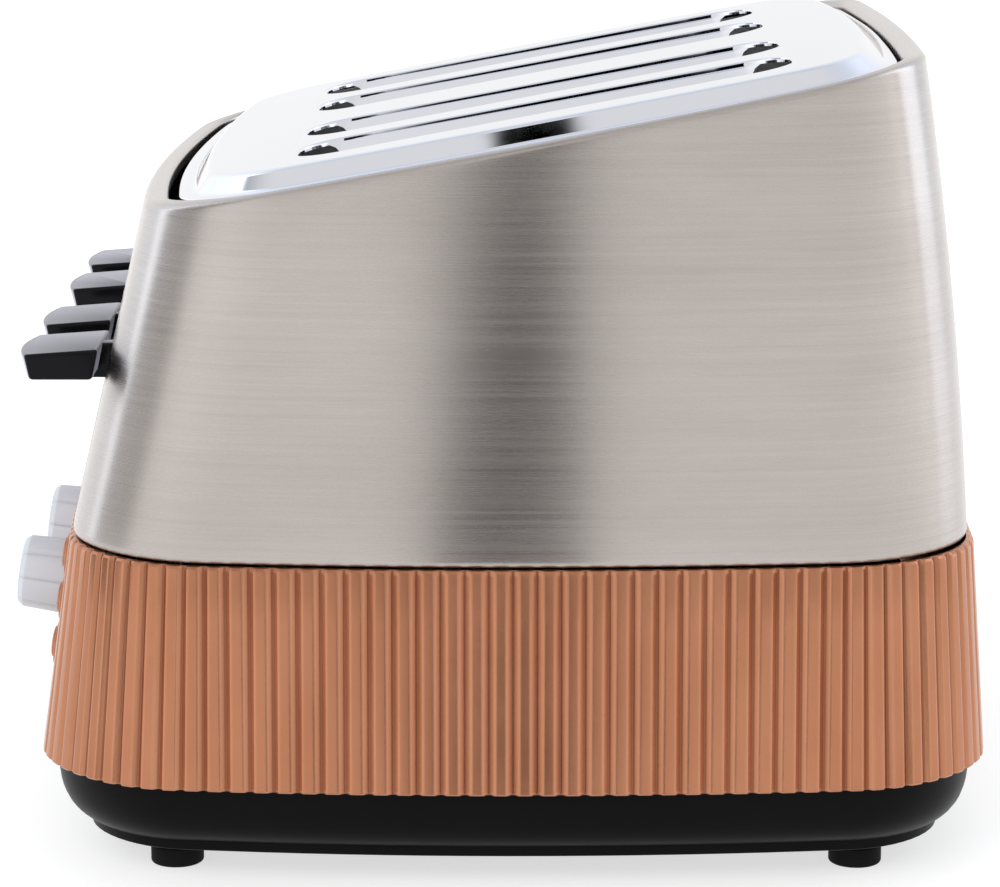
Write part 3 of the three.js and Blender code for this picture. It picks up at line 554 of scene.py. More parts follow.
def dress(obj, material, body, slot, *nodes):
    """Gives a piece its material and body, and hides the CAD nodes that it stands for. Its finish slot is not
    used.
    """
    if material:
        painted(obj, material)
    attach(obj, body)
    if nodes:
        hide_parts(*nodes)
    return obj


BODY_OF = {}
for body_name, node_names in frame["record"]["behaviour"]["bodies"].items():
    for node_name in node_names:
        BODY_OF[node_name] = body_name
HOUSING = BODY_OF["outer_shell"]


# ---- Shell ----

FRONT_LEAN = math.radians(13.3)
RIM_SLOPE = 0.1913
RIM_OVER_ORIGIN = 197.1 - RIM_SLOPE * ORIGIN_Y
RIM_RADIUS = 3.4
RIM_WIDTH = 6.2
SHELL_WALL = 1.0
SHELL_LOW, SHELL_HIGH = box_mm("outer_shell")
SHELL_BOTTOM = SHELL_LOW[2]


def shell_plan(z):
    """The walls lean in as they rise; the back wall curves in."""
    up = z - SHELL_BOTTOM
    front = SHELL_LOW[1] + math.tan(FRONT_LEAN) * up
    rear = SHELL_HIGH[1] - 0.055 * up - 0.0004 * up * up
    return Plan(SHELL_HIGH[0] - 0.049 * up, front, rear, 37, 9, 8, 3.6)


def shell_ring(height_at, inset, places):
    ring = []
    for place in places:
        z = SHELL_BOTTOM
        for _ in range(6):
            x, y = shell_plan(z).inset(inset).point(*place)
            z = height_at(y)
        ring.append((x, y, z))
    return ring


def rim_height(y):
    return RIM_OVER_ORIGIN + RIM_SLOPE * y


def make_shell():
    places = from_rear(stations(22, 26, 14))
    below_rim = lambda drop: lambda y: rim_height(y) - drop
    wall = lambda share: lambda y: SHELL_BOTTOM + (rim_height(y) - RIM_RADIUS - SHELL_BOTTOM) * share
    above_bottom = lambda rise: lambda y: SHELL_BOTTOM + rise
    rows = 14
    curl = [(1.5, 0), (0.75, 0.2), (0.3, 0.75), (0.06, 1.5), (0, 2.4)]
    rings = [shell_ring(above_bottom(rise), inset, places) for inset, rise in curl]
    rings += [shell_ring(wall(row / rows), 0, places) for row in range(1, rows + 1)]
    hook = rounded([(0, RIM_RADIUS), (0, 0), (RIM_WIDTH, 0), (RIM_WIDTH, 4.4)], [RIM_RADIUS, 1.8], 8)
    rings += [shell_ring(below_rim(drop), inset, places) for inset, drop in hook[1:]]
    lining = RIM_WIDTH - SHELL_WALL
    hook_inside = [(lining, 4.4), (lining - 0.6, 2.2), (SHELL_WALL + 0.8, SHELL_WALL + 1.2)]
    rings += [shell_ring(below_rim(drop), inset, places) for inset, drop in hook_inside]
    rings += [shell_ring(wall(share), SHELL_WALL + 0.5, places) for share in (0.97, 0.6, 0.3, 0)]
    shell = loft("brushed_shell", rings, hollow=True)
    cut(shell, [lever_slot_tool(i) for i in range(1, 5)])
    return dress(smooth(shell, 40), STEEL, HOUSING, "brushed_steel", "outer_shell")


NECK_WIDTH = 6.4
NECK_BOTTOM, NECK_TOP = 128.8, 138.4
NECK_CLEARANCE = 0.75


def lever_slot_tool(i):
    """A block with round corners, through the shell's front where a lever's neck slides."""
    middle = middle_mm(f"lever_handle_{i}")[0]
    travel = JOINTS[f"lever_slide_{i}"]["range_m"][0] / MM * math.cos(FRONT_LEAN)
    low, high = NECK_BOTTOM + travel - NECK_CLEARANCE, NECK_TOP + NECK_CLEARANCE
    outline = Plan(NECK_WIDTH / 2 + NECK_CLEARANCE, low, high, 1.6).ring(0, stations(1, 1, 5))
    front = SHELL_LOW[1] - 20
    return loft("slot_tool", [[(middle + x, y, z) for x, z, _ in outline] for y in (front + 60, front)])


# ---- Band ----

BAND_LOW, BAND_HIGH = box_mm("ribbed_band")
BAND_BOTTOM, BAND_TOP = BAND_LOW[2], BAND_HIGH[2]
BAND_FOOT = Plan(BAND_HIGH[0], BAND_LOW[1], BAND_HIGH[1], 38, 9, 8, 3.6)
BAND_HEAD = Plan(BAND_HIGH[0] - 6.3, BAND_LOW[1] + 8.2, BAND_HIGH[1] - 3.7, 37, 9, 8, 3.6)
BAND_LEAN = math.atan(8.2 / (BAND_TOP - BAND_BOTTOM))
BAND_WALL = 2.0
RIB_DEPTH = 1.05
# Half a rib, from its groove to its crest: (share of the pitch, share of the depth, share of painted light: low
# gives painted shade in the groove, high a painted highlight).
RIB_FLANK = [
    (0.0, 1.0, 0.0), (0.05, 0.97, 0.1), (0.1, 0.78, 0.6),
    (0.22, 0.12, 1.0), (0.28, 0.02, 0.9), (0.35, 0.01, 0.4),
]
RIB_CREST = (0.5, 0.0, 0.38)
RIB_PROFILE = [*RIB_FLANK, RIB_CREST, *[(1 - share, *rest) for share, *rest in RIB_FLANK[:0:-1]]]
SIDE_RIBS_FRONT, SIDE_RIBS_REAR = ORIGIN_Y - 74.3, ORIGIN_Y + 83.8
SPIGOT_BORE = 3.9
CAP_BORE = 4.75
RIBS_PER_SIDE = 25
RIBS_ROUND_FRONT = 28
RIBS_ROUND_REAR = 28


def band_plan(z):
    return BAND_FOOT.towards(BAND_HEAD, (z - BAND_BOTTOM) / (BAND_TOP - BAND_BOTTOM))


def rib_places(plan):
    """Samples round half of the band, from the middle of the front to the middle of the rear.

    Along the side the ribs stand upright, a fixed step apart; round the corners they fan out.
    """
    fine = stations(60, 60, 40)
    half = [plan.point(*place) for place in fine if plan.point(*place)[0] >= 0]
    start = min(range(len(half)), key=lambda i: (half[i][1] > 0, abs(half[i][0])))
    line = np.array(half[start:] + half[:start])
    line[0, 0] = line[-1, 0] = 0
    run = np.concatenate([[0], np.cumsum(np.linalg.norm(np.diff(line, axis=0), axis=1))])
    beside = line[:, 0] > 0.8 * line[:, 0].max()
    front = np.interp(SIDE_RIBS_FRONT, line[beside, 1], run[beside])
    rear = np.interp(SIDE_RIBS_REAR, line[beside, 1], run[beside])
    stops = []
    for low, high, count in (
        (0, front, RIBS_ROUND_FRONT), (front, rear, RIBS_PER_SIDE), (rear, run[-1], RIBS_ROUND_REAR),
    ):
        steps = np.add.outer(np.arange(count), [share for share, _, _ in RIB_PROFILE]).ravel() / count
        stops.append(low + (high - low) * steps)
    stops = np.concatenate(stops)

    def on_line(distance):
        return np.stack([np.interp(distance, run, line[:, k]) for k in (0, 1)])

    step = 0.3
    along = on_line(stops + step) - on_line(stops - step)
    along /= np.linalg.norm(along, axis=0)
    return on_line(stops).T, np.stack([along[1], -along[0]], axis=1)


def make_band():
    ribs = RIBS_ROUND_FRONT + RIBS_PER_SIDE + RIBS_ROUND_REAR
    valley = np.tile([RIB_DEPTH * depth for _, depth, _ in RIB_PROFILE], ribs)

    def ribbed(z, inset, share):
        spots, outward = rib_places(band_plan(z))
        spots = spots - outward * (inset + share * valley)[:, None]
        mirrored = spots[:0:-1] * (-1, 1)
        last = np.array([[0, band_plan(z).point(2, 0.5)[1] - inset - share * RIB_DEPTH]])
        whole = np.concatenate([spots, last, mirrored])
        return [(x, y, z) for x, y in whole]

    rows = [(BAND_BOTTOM, BAND_WALL, 0), (BAND_BOTTOM, 0.5, 1)]
    rows += [(BAND_BOTTOM + rise, 0, 1) for rise in (0.5, 15, 30, 45)]
    rows += [(BAND_TOP - 1.5, 0, 1), (BAND_TOP - 0.7, 0.15, 1), (BAND_TOP - 0.15, 0.7, 0.7)]
    rows += [(BAND_TOP, 1.2, 0.3), (BAND_TOP, BAND_WALL, 0)]
    band = loft("copper_band", [ribbed(*row) for row in rows], hollow=True)
    # Each point's share of painted light round the ribs: painted shade in the grooves, a painted highlight on the
    # flanks.
    painted_rib_light = [bright for _, _, bright in RIB_PROFILE] * ribs
    around = [*painted_rib_light, 0.0, *painted_rib_light[:0:-1]]
    painted_light_share = band.data.attributes.new("painted_light_share", "FLOAT", "POINT")
    painted_light_share.data.foreach_set("value", around * len(rows))
    holes = []
    for end in SIDES:
        controls = {f"browning_knob_{end}": SPIGOT_BORE}
        controls.update({f"{kind}_button_{end}": CAP_BORE for kind in BUTTONS})
        for node, radius in controls.items():
            holes.append(placed(rod("hole", radius, -9, 6, 64), control_frame(node)))
    cut(band, holes)
    return dress(smooth(band, 24), COPPER, HOUSING, "copper_paint", "ribbed_band")


def control_frame(node):
    """A matrix whose +Z points straight out of the band's front where this control sits."""
    x = middle_mm(node)[0]
    z = {"browning": 61, "cancel": 50, "reheat": 63, "defrost": 76}[node.split("_")[0]]
    plan = band_plan(z)
    front = plan.values[1] + plan.values[5] * (x / plan.values[0]) ** 2
    return shift(x, front, z) @ Matrix.Rotation(math.pi / 2 - BAND_LEAN, 4, "X")


# ---- Top plate ----

TOP_SLOPE = 0.189
TOP_TILT = math.atan(TOP_SLOPE)
TOP_HEIGHT = 201.2
STRETCH = 1 / math.cos(TOP_TILT)
PLATEAU = Plan(110.4, -84.5 * STRETCH, 99.5 * STRETCH, 20, 5, 7, 6)
FLANGE = Plan(box_mm("top_plate")[1][0], -94 * STRETCH, 105.8 * STRETCH, 33, 8, 8, 4)
PLATEAU_RISE = 5
PLATE_THICKNESS = 1.4
SLOT_X = [-78.6, -31.4, 31.4, 78.6]
SLOT = Plan(16, -56.5 * STRETCH, 76.3 * STRETCH, 12)


def slot_lip(places):
    """The rings of a bread slot's edge: a small roll, a step, then a flange that leans in to guide the bread.

    The step deepens towards the rear; the flange runs along the sides and dies away round the ends.
    """
    rings = []
    into_end, out_of_end, across_end = (1, 5), (3, 7), (2, 6)
    for inset, z, step, flange in (
        (-0.9, 0, 0, 0), (-0.45, -0.08, 0, 0), (-0.13, -0.3, 0, 0), (0, -0.65, 0, 0), (0, -0.75, 1, 0),
        (0.2, -1.1, 1, 1), (1.6, -3.9, 0.6, 1), (3.2, -7.2, 0.2, 1), (2.4, -7.2, 0.2, 1),
    ):
        ring = []
        for stretch, fraction in places:
            round_end = 1 if stretch in across_end else 0
            if stretch in into_end:
                round_end = fraction
            elif stretch in out_of_end:
                round_end = 1 - fraction
            along_side = max(0, 1 - 5 * round_end)
            x, y = SLOT.inset(min(inset, 0) + max(inset, 0) * along_side).point(stretch, fraction)
            rearward = min(1, max(0, (y - SLOT.values[1]) / (SLOT.values[2] - SLOT.values[1])))
            drop = z + step * (-0.1 - 1.1 * rearward) * along_side
            if flange:
                drop = drop * along_side - PLATE_THICKNESS * (1 - along_side)
            ring.append((x, y, drop))
        rings.append(ring)
    return rings


class Sheet:
    """Points and faces of one surface that is made a strip or a flat at a time."""

    def __init__(self):
        self.points, self.faces = [], []

    def ring(self, ring):
        start = len(self.points)
        self.points += [tuple(p) for p in ring]
        return list(range(start, len(self.points)))

    def strips(self, loops, inward=False):
        for low, high in zip(loops, loops[1:]):
            for i in range(len(low)):
                j = (i + 1) % len(low)
                quad = (low[i], low[j], high[j], high[i])
                self.faces.append(quad[::-1] if inward else quad)

    def flat(self, loops, facing_up):
        """A flat between an outer loop and the holes inside it."""
        order = [i for loop in loops for i in loop]
        outlines = [[Vector((*self.points[i][:2], 0)) for i in loop] for loop in loops]
        for corners in tessellate_polygon(outlines):
            a, b, c = (order[k] for k in corners)
            first, second, third = (Vector(self.points[i][:2]) for i in (a, b, c))
            anticlockwise = (second - first).cross(third - first) > 0
            self.faces.append((a, b, c) if anticlockwise == facing_up else (a, c, b))


def make_top_plate():
    sheet = Sheet()
    places = stations(24, 24, 14)
    slot_places = stations(14, 2, 12)
    foot = -PLATEAU_RISE
    underside = foot - PLATE_THICKNESS
    edge = rounded([(1.4, underside), (0, underside), (0, foot), (6, foot)], [0.5, 0.6], 4)
    bevel = rounded([(-7.5, foot), (-5, foot), (0, 0), (3, 0)], [3.2, 3.6], 8)
    outside = [sheet.ring(FLANGE.inset(inset).ring(z, places)) for inset, z in edge[:-1]]
    outside += [sheet.ring(PLATEAU.inset(inset).ring(z, places)) for inset, z in bevel[1:-1]]
    sheet.strips(outside)
    hollow = ((-4.4, underside), (-3.6, foot - 0.2), (1.2, -PLATE_THICKNESS))
    inside = [sheet.ring(PLATEAU.inset(inset).ring(z, places)) for inset, z in hollow]
    sheet.strips([outside[0], *inside], inward=True)
    lip = slot_lip(slot_places)
    lip.append(SLOT.inset(-0.2).ring(-PLATE_THICKNESS, slot_places))
    upper, lower = [], []
    for x in SLOT_X:
        loops = [sheet.ring([(px + x, py, pz) for px, py, pz in ring]) for ring in lip]
        sheet.strips(loops, inward=True)
        upper.append(loops[0])
        lower.append(loops[-1])
    sheet.flat([outside[-1], *upper], True)
    sheet.flat([inside[-1], *lower], False)
    plate = mesh_object("chrome_top", sheet.points, sheet.faces)
    placed(plate, shift(0, ORIGIN_Y, TOP_HEIGHT) @ Matrix.Rotation(TOP_TILT, 4, "X"))
    return dress(smooth(plate, 28), CHROME, HOUSING, "chrome", "top_plate")


# ---- Base ----

BASE_LOW, BASE_HIGH = box_mm("base_tray")
BASE_PLAN = Plan(BASE_HIGH[0], BASE_LOW[1], BASE_HIGH[1], 34, 9, 8, 3.6)
RUNNER_PLAN = Plan(BASE_HIGH[0] - 19, BASE_LOW[1] + 24, BASE_HIGH[1] - 24, 10, 3, 6, 3)
BASE_WALL = 2.5
BOWL_TOP, BOWL_BOTTOM = 27, 9
BOWL_REACH = 15
UNDERSIDE_INSET = 22
LEDGE_INSET, LEDGE_BOTTOM = 8.2, 7.4
RUNNER_WIDTH, RUNNER_BOTTOM = 9, 5.6
FOOT_ROOM, FOOT_ROOM_TOP = 7.5, 8.9
TRAY_MOUTH_FRONT, TRAY_MOUTH_BOTTOM = 90, 11.6
BEHIND_THE_BASE = 150


def make_tub(places):
    """The bowl: its wall rounds in to a flat underside."""
    bowl = []
    steps = 12
    for step in range(steps, -1, -1):
        angle = math.pi / 2 * step / steps
        inset = BOWL_REACH * (1 - abs(math.cos(angle)) ** 0.8)
        bowl.append((inset, BOWL_TOP - (BOWL_TOP - BOWL_BOTTOM) * math.sin(angle) ** 0.8))
    outer = [(UNDERSIDE_INSET, BOWL_BOTTOM), *bowl, (0, 33), (0, BASE_HIGH[2])]
    inner = [(BASE_WALL, BASE_HIGH[2]), (BASE_WALL, BOWL_TOP), (6, 18), (12, 12.5), (20, 11.5)]
    return loft("tub", [BASE_PLAN.inset(inset).ring(z, places) for inset, z in outer + inner])


def make_base():
    places = stations(16, 16, 12)
    tub = make_tub(places)
    ledge_profile = [(LEDGE_INSET, 13), (LEDGE_INSET, LEDGE_BOTTOM)]
    ledge_profile += [(UNDERSIDE_INSET, LEDGE_BOTTOM), (UNDERSIDE_INSET, 10.5)]
    runner_profile = [(0, 10), (0, RUNNER_BOTTOM), (RUNNER_WIDTH, RUNNER_BOTTOM), (RUNNER_WIDTH, 10)]
    pieces = [tub]
    for plan, profile, radius in ((BASE_PLAN, ledge_profile, 0.6), (RUNNER_PLAN, runner_profile, 0.8)):
        rings = [plan.inset(inset).ring(z, places) for inset, z in rounded(profile, [radius, 0.6], 3)]
        piece = loft("lower_piece", rings, hollow=True)
        cut(piece, [moved_over(rod("room", FOOT_ROOM, 0, FOOT_ROOM_TOP), foot) for foot in FEET])
        pieces.append(piece)
    gland_front = box_mm("cord_gland")[0][1]
    gland_height = middle_mm("cord_gland")[2]
    combine(tub, facing_back(rod("boss", 9.5, gland_front + 3, 127), 0, gland_height), "UNION")
    mouths = []
    for end in SIDES:
        low, high = box_mm(f"crumb_tray_{end}")
        far_corner = (high[0] + 0.8, BEHIND_THE_BASE, high[2] + 1.7)
        near_corner = (low[0] - 0.8, TRAY_MOUTH_FRONT, TRAY_MOUTH_BOTTOM)
        mouths.append(rounded_box("mouth", near_corner, far_corner, 0))
    for radius, front in ((5.2, 60), (7.6, gland_front + 12)):
        mouths.append(facing_back(rod("bore", radius, front, BEHIND_THE_BASE), 0, gland_height))
    cut(tub, mouths)
    base = join("black_base", [smooth(piece, 30) for piece in pieces])
    return dress(base, BLACK_PLASTIC, HOUSING, "black_plastic", "base_tray")


def make_feet():
    for node in FEET:
        top = box_mm(node)[1][2]
        profile = [(0, 0), (5.6, 0), (7.2, 0), (7.2, 5), (6.2, 6.4), (3, 6.6), (3, top), (0, top)]
        foot = lathe(f"rubber_{node}", rounded(profile, [0.1, 1.1, 0.6, 0.4, 0.3, 0.3], 4), 48)
        dress(smooth(moved_over(foot, node)), RUBBER, HOUSING, "rubber", node)


def make_crumb_trays():
    for end in SIDES:
        node = f"crumb_tray_{end}"
        low, high = box_mm(node)
        rear = high[1] - 9
        sheet, face = 0.9, 1.6
        walls = [
            rounded_box("floor", low, (high[0], rear, low[2] + sheet), 0.2),
            rounded_box("wall", low, (low[0] + sheet, rear, high[2]), 0.2),
            rounded_box("wall", (high[0] - sheet, low[1], low[2]), (high[0], rear, high[2]), 0.2),
            rounded_box("wall", low, (high[0], low[1] + sheet, high[2]), 0.2),
            rounded_box("face", (low[0], rear - face, low[2]), (high[0], rear, high[2]), 0.5),
        ]
        dress(join(f"crumb_pan_{end}", walls), PLATED, BODY_OF[node], "plated_steel", node)
        middle = (low[0] + high[0]) / 2
        outline = rounded([(-20, 0), (-17, 9), (17, 9), (20, 0)], [2.5, 2.5], 5)
        rings = [
            [(middle + x * share, rear + y * (1 if y < 8 else share), low[2] + z) for x, y in outline]
            for z, share in ((2.4, 0.97), (2.8, 1.0), (4.6, 1.0), (5.0, 0.97))
        ]
        grip = loft(f"crumb_grip_{end}", rings)
        dress(smooth(grip), BLACK_PLASTIC, BODY_OF[node], "black_plastic")


def make_gland():
    """A rubber inlet: a flange inside, a neck through the wall, a collar, and a ribbed relief."""
    bore, length, collar_end = 1.8, 22, 14.3
    ribs = []
    for k in range(4):
        past = 1.75 * k
        crest, groove = 5.6 - 0.17 * past, 4.4 - 0.05 * past
        y = collar_end + past
        ribs += [(crest, y), (crest, y + 1.1), (groove, y + 1.2), (groove, y + 1.6)]
    body = [(6.5, 0), (6.5, 2.5), (4.8, 2.5), (4.8, 12.3), (7, 12.3), (7, collar_end)]
    profile = [(bore, 0), *body, *ribs, (4.2, length), (bore, length), (bore, 0)]
    front, height = box_mm("cord_gland")[0][1], middle_mm("cord_gland")[2]
    gland = facing_back(lathe("lead_gland", profile, 40), front, height)
    dress(smooth(gland, 30), RUBBER, HOUSING, "rubber", "cord_gland")


# ---- Levers and knobs ----

HANDLE_BOTTOM, HANDLE_TOP = 130.5, 137.3
HANDLE_RISE = 1.5
HANDLE_BULGE = 2.8
FLUTES = 8
FLUTE_DEPTH = 0.85


def make_handles():
    for i in range(1, 5):
        node = f"lever_handle_{i}"
        low, high = box_mm(node)
        middle, half = (low[0] + high[0]) / 2, (high[0] - low[0]) / 2
        front = low[1]
        rear = ORIGIN_Y - 112.2 + 8 * ((abs(middle) - half) / SHELL_HIGH[0]) ** 2
        across = np.linspace(-1, 1, 21)
        bulge = [(half * a, front + HANDLE_BULGE * a * a) for a in across]
        corners = [0.9, 2.6, *[0] * (len(bulge) - 2), 2.6, 0.9]
        outline = rounded([(0, rear), (-half, rear), *bulge, (half, rear), (0, rear)], corners, 5)
        centre = (front + rear) / 2
        depth = (rear - front) / 2
        height = HANDLE_TOP - HANDLE_BOTTOM
        rings = []
        for inset, z in rounded([(4, 0), (0, 0), (0, height), (4, height)], [0.8, 0.9], 5)[1:-1]:
            taper = 1.8 * (1 - z / height)
            ring = []
            for x, y in outline[:-1]:
                back = (y - front) / (rear - front)
                rise = HANDLE_RISE * back * (z / height)
                shrunk = centre + (y - centre) * (1 - (inset + taper) / depth)
                ring.append((middle + x * (half - inset) / half, shrunk, HANDLE_BOTTOM + z + rise))
            rings.append(ring)
        slab = smooth(loft("slab", rings), 40)
        inner_end = (middle + NECK_WIDTH / 2, high[1], NECK_TOP)
        neck = rounded_box("neck", (middle - NECK_WIDTH / 2, rear - 4, NECK_BOTTOM), inner_end, 0.8)
        dress(join(f"lever_cap_{i}", [slab, neck]), GLOSS_BLACK, BODY_OF[node], "gloss_black", node)


def fluted_ring(z, radius, depth):
    per_flute = 16
    points = []
    for k in range(FLUTES * per_flute):
        angle = 2 * math.pi * k / (FLUTES * per_flute)
        phase = abs((k % per_flute) / per_flute * 2 - 1)
        out = radius - depth * max(0, (phase - 0.72) / 0.28) ** 1.5
        points.append((out * math.cos(angle), out * math.sin(angle), z))
    return points


def make_knobs():
    side = rounded([(0, 0.7), (11, 0.7), (10.4, 12.6), (9.2, 14.2), (0, 14.2)], [0.4, 1.0, 0.9], 5)[1:-1]
    rings = [fluted_ring(z, radius, FLUTE_DEPTH * (1 if radius > 8.8 else radius / 11)) for radius, z in side]
    rings += [fluted_ring(z, radius, 0) for radius, z in ((7.6, 14.2), (7.2, 13.9), (3.0, 13.8))]
    for end in SIDES:
        node = f"browning_knob_{end}"
        grip = painted(smooth(loft("grip", rings), 38), SILVER)
        spigot = painted(smooth(rod("spigot", 3, -11, 1.5)), SILVER)
        pointer = painted(rounded_box("pointer", (-0.55, 2.8, 13.5), (0.55, 7.0, 14.1), 0.15), PRINT)
        knob = placed(join(f"dial_{end}", [grip, spigot, pointer]), control_frame(node))
        dress(knob, None, BODY_OF[node], "silver_plastic", node)
        make_trim(f"dial_collar_{end}", node, 4.1, 12.4, 0.35, 0.1, 64)


def even_painted_light(piece):
    """Gives a plain copper piece one even share of the painted light that the lacquer looks for, so it gets
    neither painted groove shade nor a painted highlight.
    """
    points = len(piece.data.vertices)
    piece.data.attributes.new("painted_light_share", "FLOAT", "POINT").data.foreach_set("value", [0.4] * points)
    return piece


def make_trim(name, node, bore, outer, height, bore_edge, segments):
    """A low copper ring round a control, let into the band."""
    foot = -1.6
    corners = [(bore, foot), (bore, height), (outer, height), (outer + 0.5, foot), (bore, foot)]
    ring = lathe(name, rounded(corners, [bore_edge, 0.5, 0.2], 3), segments)
    dress(smooth(even_painted_light(placed(ring, control_frame(node)))), COPPER, HOUSING, "copper_paint")


def make_buttons():
    radius, flange = 4.4, 5.6
    dome = [(radius * math.cos(a), 0.7 + 0.75 * math.sin(a)) for a in np.linspace(0.3, math.pi / 2, 8)]
    stem = [(0, -10.6), (2, -10.6), (2, -4.4), (flange, -4.4), (flange, -3.2), (radius, -3.2), (radius, 0.6)]
    profile = [*stem, *dome[:-1], (0, 1.45)]
    for end in SIDES:
        for kind in BUTTONS:
            node = f"{kind}_button_{end}"
            button = placed(lathe(f"{kind}_cap_{end}", profile, 48), control_frame(node))
            dress(smooth(even_painted_light(button)), COPPER, BODY_OF[node], "copper_paint", node)
            make_trim(f"{kind}_bezel_{end}", node, CAP_BORE, 6.4, 0.2, 0.3, 48)


# ---- Inside ----


GUARD_RAIL, GUARD_WIRE = 0.85, 0.6
GUARD_UPRIGHTS = 12
CARD_HALF_THICKNESS = 0.35
RIBBON_HALF_WIDTH = 0.7
RIBBON_TURNS = 13


def make_guards():
    for node in (f"guard_{i}_{end}" for i in range(1, 5) for end in SIDES):
        low, high = box_mm(node)
        x = (low[0] + high[0]) / 2
        margin = 0.9
        top = lambda y: high[2] - margin - TOP_SLOPE * (high[1] - y)
        front, rear, foot = low[1] + margin, high[1] - margin, low[2] + margin
        corners = [(x, front, foot), (x, rear, foot), (x, rear, top(rear)), (x, front, top(front))]
        wires = [tube("rail", [a, b], GUARD_RAIL) for a, b in zip(corners, corners[1:] + corners[:1])]
        for k in range(1, GUARD_UPRIGHTS + 1):
            y = front + (rear - front) * k / (GUARD_UPRIGHTS + 1)
            wires.append(tube("upright", [(x, y, foot), (x, y, top(y))], GUARD_WIRE, 6))
        for z in (foot + 36.75, foot + 73.5):
            wires.append(tube("cross", [(x, front, z), (x, rear, z)], GUARD_WIRE, 6))
        dress(join(f"wire_{node}", wires), WIRE, BODY_OF[node], "wire_steel", node)


def make_heaters():
    for i in range(1, 7):
        node = f"heater_{i}"
        low, high = box_mm(node)
        x = (low[0] + high[0]) / 2
        fall = TOP_SLOPE * (high[1] - low[1])
        corners = [(low[1], low[2]), (high[1], low[2]), (high[1], high[2]), (low[1], high[2] - fall)]
        rings = [[(x + face * CARD_HALF_THICKNESS, y, z) for y, z in corners] for face in (-1, 1)]
        pieces = [painted(loft("card", rings), MICA)]
        under, over = CARD_HALF_THICKNESS + 0.01, CARD_HALF_THICKNESS + 0.13
        width = RIBBON_HALF_WIDTH
        section = [(under, -width), (over, -width), (over, width), (under, width)]
        for k in range(RIBBON_TURNS):
            middle = low[2] + 5 + (high[2] - fall - low[2] - 10) * k / (RIBBON_TURNS - 1)
            for face in (-1, 1):
                path = [(low[1] + 1, middle - 1.4 * face), (high[1] - 1, middle + 1.4 * face)]
                rings = [[(x + face * d, y, z + w) for d, w in section] for y, z in path]
                pieces.append(painted(loft("ribbon", rings), RIBBON))
        dress(join(f"wound_card_{i}", pieces), None, HOUSING, "mica", node)


def make_springs():
    axis = Vector((0, math.sin(FRONT_LEAN), math.cos(FRONT_LEAN)))
    across = Vector((0, math.cos(FRONT_LEAN), -math.sin(FRONT_LEAN)))
    radius, turns, per_turn = 4.05, 9, 16
    for i in range(1, 5):
        node = f"return_spring_{i}"
        low, high = box_mm(node)
        centre = Vector(middle_mm(f"guide_rod_{i}"))
        along = lambda z: (z - centre.z) / axis.z
        start, end = along(low[2] + 1.4), along(high[2] - 1.4)
        path = []
        for k in range(turns * per_turn + 1):
            share = k / (turns * per_turn)
            angle = 2 * math.pi * turns * share
            point = centre + axis * (start + (end - start) * share)
            path.append(point + Vector((radius * math.cos(angle), 0, 0)) + across * radius * math.sin(angle))
        spring = tube(f"coil_{i}", path, 0.5)
        dress(spring, WIRE, HOUSING, "wire_steel", node)
        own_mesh(spring)


def dress_cad_nodes():
    """The CAD nodes that keep their own shape: plated sheet, but for the rods, boards and magnets."""
    others = {"guide": WIRE, "board": BOARD, "magnet": MAGNET}
    for name, obj in frame["nodes"].items():
        if not obj.hide_render:
            painted(obj, next((material for key, material in others.items() if key in name), PLATED))


# ---- Studio ----

# The light's level round the toaster, by the angle from the camera's side of it, in degrees.
LEVELS_AROUND = [
    (-180, 0.96), (-162, 1.02), (-135, 1.35), (-124, 1.4), (-121, 2.4), (-116, 2.4), (-112, 0.45),
    (-90, 0.38), (-84, 0.62), (-77, 1.12), (-60, 1.16), (-30, 0.98), (-15, 0.86), (18, 0.80), (45, 0.84),
    (68, 0.94), (90, 1.15), (95, 1.35), (100, 1.35), (104, 1.05), (108, 2.4), (123, 2.4), (129, 1.2),
    (140, 1.2), (162, 1.02), (179, 0.96),
]
WHITE_LIGHT, COOL_LIGHT = (1, 1, 1), (0.84, 0.9, 1.0)


def make_camera():
    """The view from the toaster's side, a little above."""
    camera = bpy.data.cameras.new("camera")
    camera.sensor_width = 36
    camera.lens = 126.2
    camera.clip_start = 0.05
    camera.clip_end = 50
    obj = add_object("camera", camera)
    pitch, yaw = math.radians(11.776), math.radians(0.118)
    look = Vector((-math.cos(pitch) * math.cos(yaw), -math.cos(pitch) * math.sin(yaw), -math.sin(pitch)))
    obj.location = (1.0251, ORIGIN_Y * MM, 0.3071)
    obj.rotation_euler = look.to_track_quat("-Z", "Y").to_euler()
    bpy.context.scene.camera = obj


def make_floor():
    """A white opal sheet, lit a little from below, so that shadows on it stay faint."""
    size = 12000
    corners = [(-size, -size, 0), (size, -size, 0), (size, size, 0), (-size, size, 0)]
    floor = mesh_object("floor", corners, [(0, 1, 2, 3)])
    opal = Shader("lit_opal_sheet", Roughness=0.6, Emission_Color=(1, 1, 1, 1), Emission_Strength=0.66)
    fibres = opal.noise(opal.place(), 6, 3, 0.5)
    opal.join("Base Color", opal.tint(fibres, (0.40, 0.40, 0.40), (0.42, 0.42, 0.42)))
    painted(floor, opal.material)


def make_flag():
    """A dark strip on the floor beyond the camera, seen only in reflections."""
    points = [(290, -32, 2), (4000, -225, 2), (4000, 245, 2), (290, 38, 2)]
    flag = mesh_object("dark_flag", points, [(0, 1, 2, 3)])
    cloth = Shader("flag_cloth", Roughness=1.0, Specular_IOR_Level=0.0)
    folds = cloth.noise(cloth.place(), 20)
    cloth.join("Base Color", cloth.tint(folds, (0.01, 0.01, 0.01), (0.02, 0.02, 0.02)))
    for ray in ("camera", "diffuse", "shadow", "transmission", "volume_scatter"):
        setattr(flag, f"visible_{ray}", False)
    painted(flag, cloth.material)


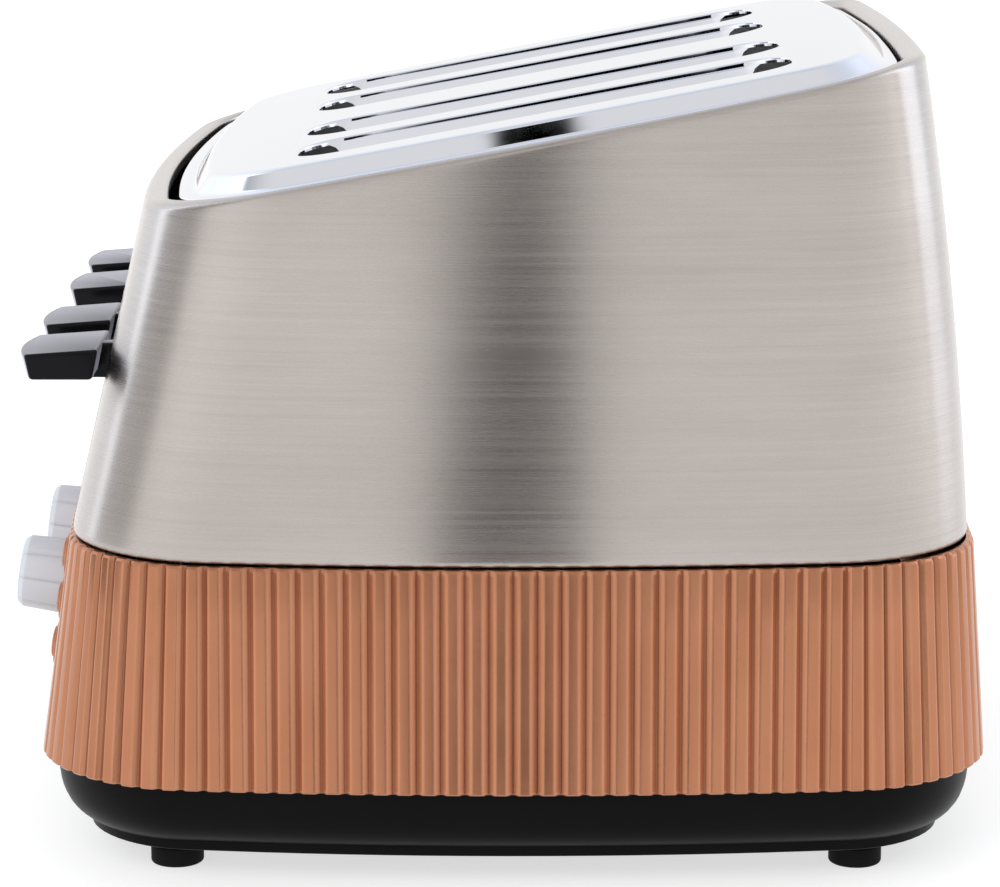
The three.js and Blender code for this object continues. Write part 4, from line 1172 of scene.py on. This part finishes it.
def make_world():
    """Two wide soft lights that meet in a narrow dark gap over the camera, dimmer beside it."""
    world = bpy.data.worlds.new("studio")
    bpy.context.scene.world = world
    world.use_nodes = True
    sky = Nodes(world.node_tree, "Background")
    x, y, z = sky.split("Generated").values()

    def step(value, low, high):
        inputs = {"Value": value, "From Min": low, "From Max": high}
        return sky.add("ShaderNodeMapRange", inputs, interpolation_type="SMOOTHSTEP").outputs["Result"]

    def ramp(value, stops):
        node = sky.add("ShaderNodeValToRGB", {0: value})
        elements = node.color_ramp.elements
        while len(elements) < len(stops):
            elements.new(0.5)
        for element, (position, colour) in zip(elements, stops):
            element.position = position
            element.color = (*colour, 1)
        return node.outputs["Color"]

    brightest = max(level for _, level in LEVELS_AROUND)
    stops = [((degrees + 180) / 360, [level / brightest] * 3) for degrees, level in LEVELS_AROUND]
    turn = sky.maths("MULTIPLY_ADD", sky.maths("ARCTAN2", y, x), 0.5 / math.pi, 0.5)
    around = sky.maths("MULTIPLY", ramp(turn, stops), brightest)
    # The gap leans towards the front as it climbs, and narrows. It is closed behind, and across its middle.
    offset = sky.maths("ABSOLUTE", sky.maths("MULTIPLY_ADD", z, 0.205, y))
    half_width = sky.maths("MULTIPLY_ADD", z, -0.032, 0.058)
    gap = step(sky.maths("DIVIDE", offset, half_width), 0.75, 1.25)
    behind = sky.maths("LESS_THAN", x, -0.05)
    bridge = sky.maths("MULTIPLY", step(z, 0.42, 0.55), sky.maths("SUBTRACT", 1.0, step(z, 0.86, 0.93)))
    open_gap = sky.maths("MAXIMUM", sky.maths("MAXIMUM", gap, behind), bridge)
    # Overhead it is one even level.
    overhead = step(z, 0.6, 0.92)
    beside = sky.maths("MULTIPLY", around, sky.maths("SUBTRACT", 1.0, overhead))
    level = sky.maths("MULTIPLY_ADD", overhead, 0.8, beside)
    sky.join("Strength", sky.maths("MULTIPLY", level, open_gap))
    # What comes from beyond the front and back corners is a little cooler.
    shades = [(0.15, WHITE_LIGHT), (0.4, COOL_LIGHT), (0.72, COOL_LIGHT), (0.9, WHITE_LIGHT)]
    sky.join("Color", ramp(sky.maths("MULTIPLY", x, -1.0), shades))


def make_lights():
    """A soft key light from the front, which isn't mirrored in the metal."""
    light = bpy.data.lights.new("key", "SUN")
    light.angle = math.radians(50)
    light.energy = 1.0
    obj = add_object("key", light)
    obj.rotation_euler = Vector((0.6, -0.4, 0.7)).to_track_quat("Z", "Y").to_euler()
    obj.visible_glossy = False


def main():
    for make in (
        make_camera, make_floor, make_flag, make_world, make_lights,
        make_shell, make_band, make_top_plate, make_base, make_feet, make_crumb_trays, make_gland,
        make_handles, make_knobs, make_buttons, make_guards, make_heaters, make_springs, dress_cad_nodes,
    ):
        make()
    bpy.context.scene.view_settings.view_transform = "Standard"


main()
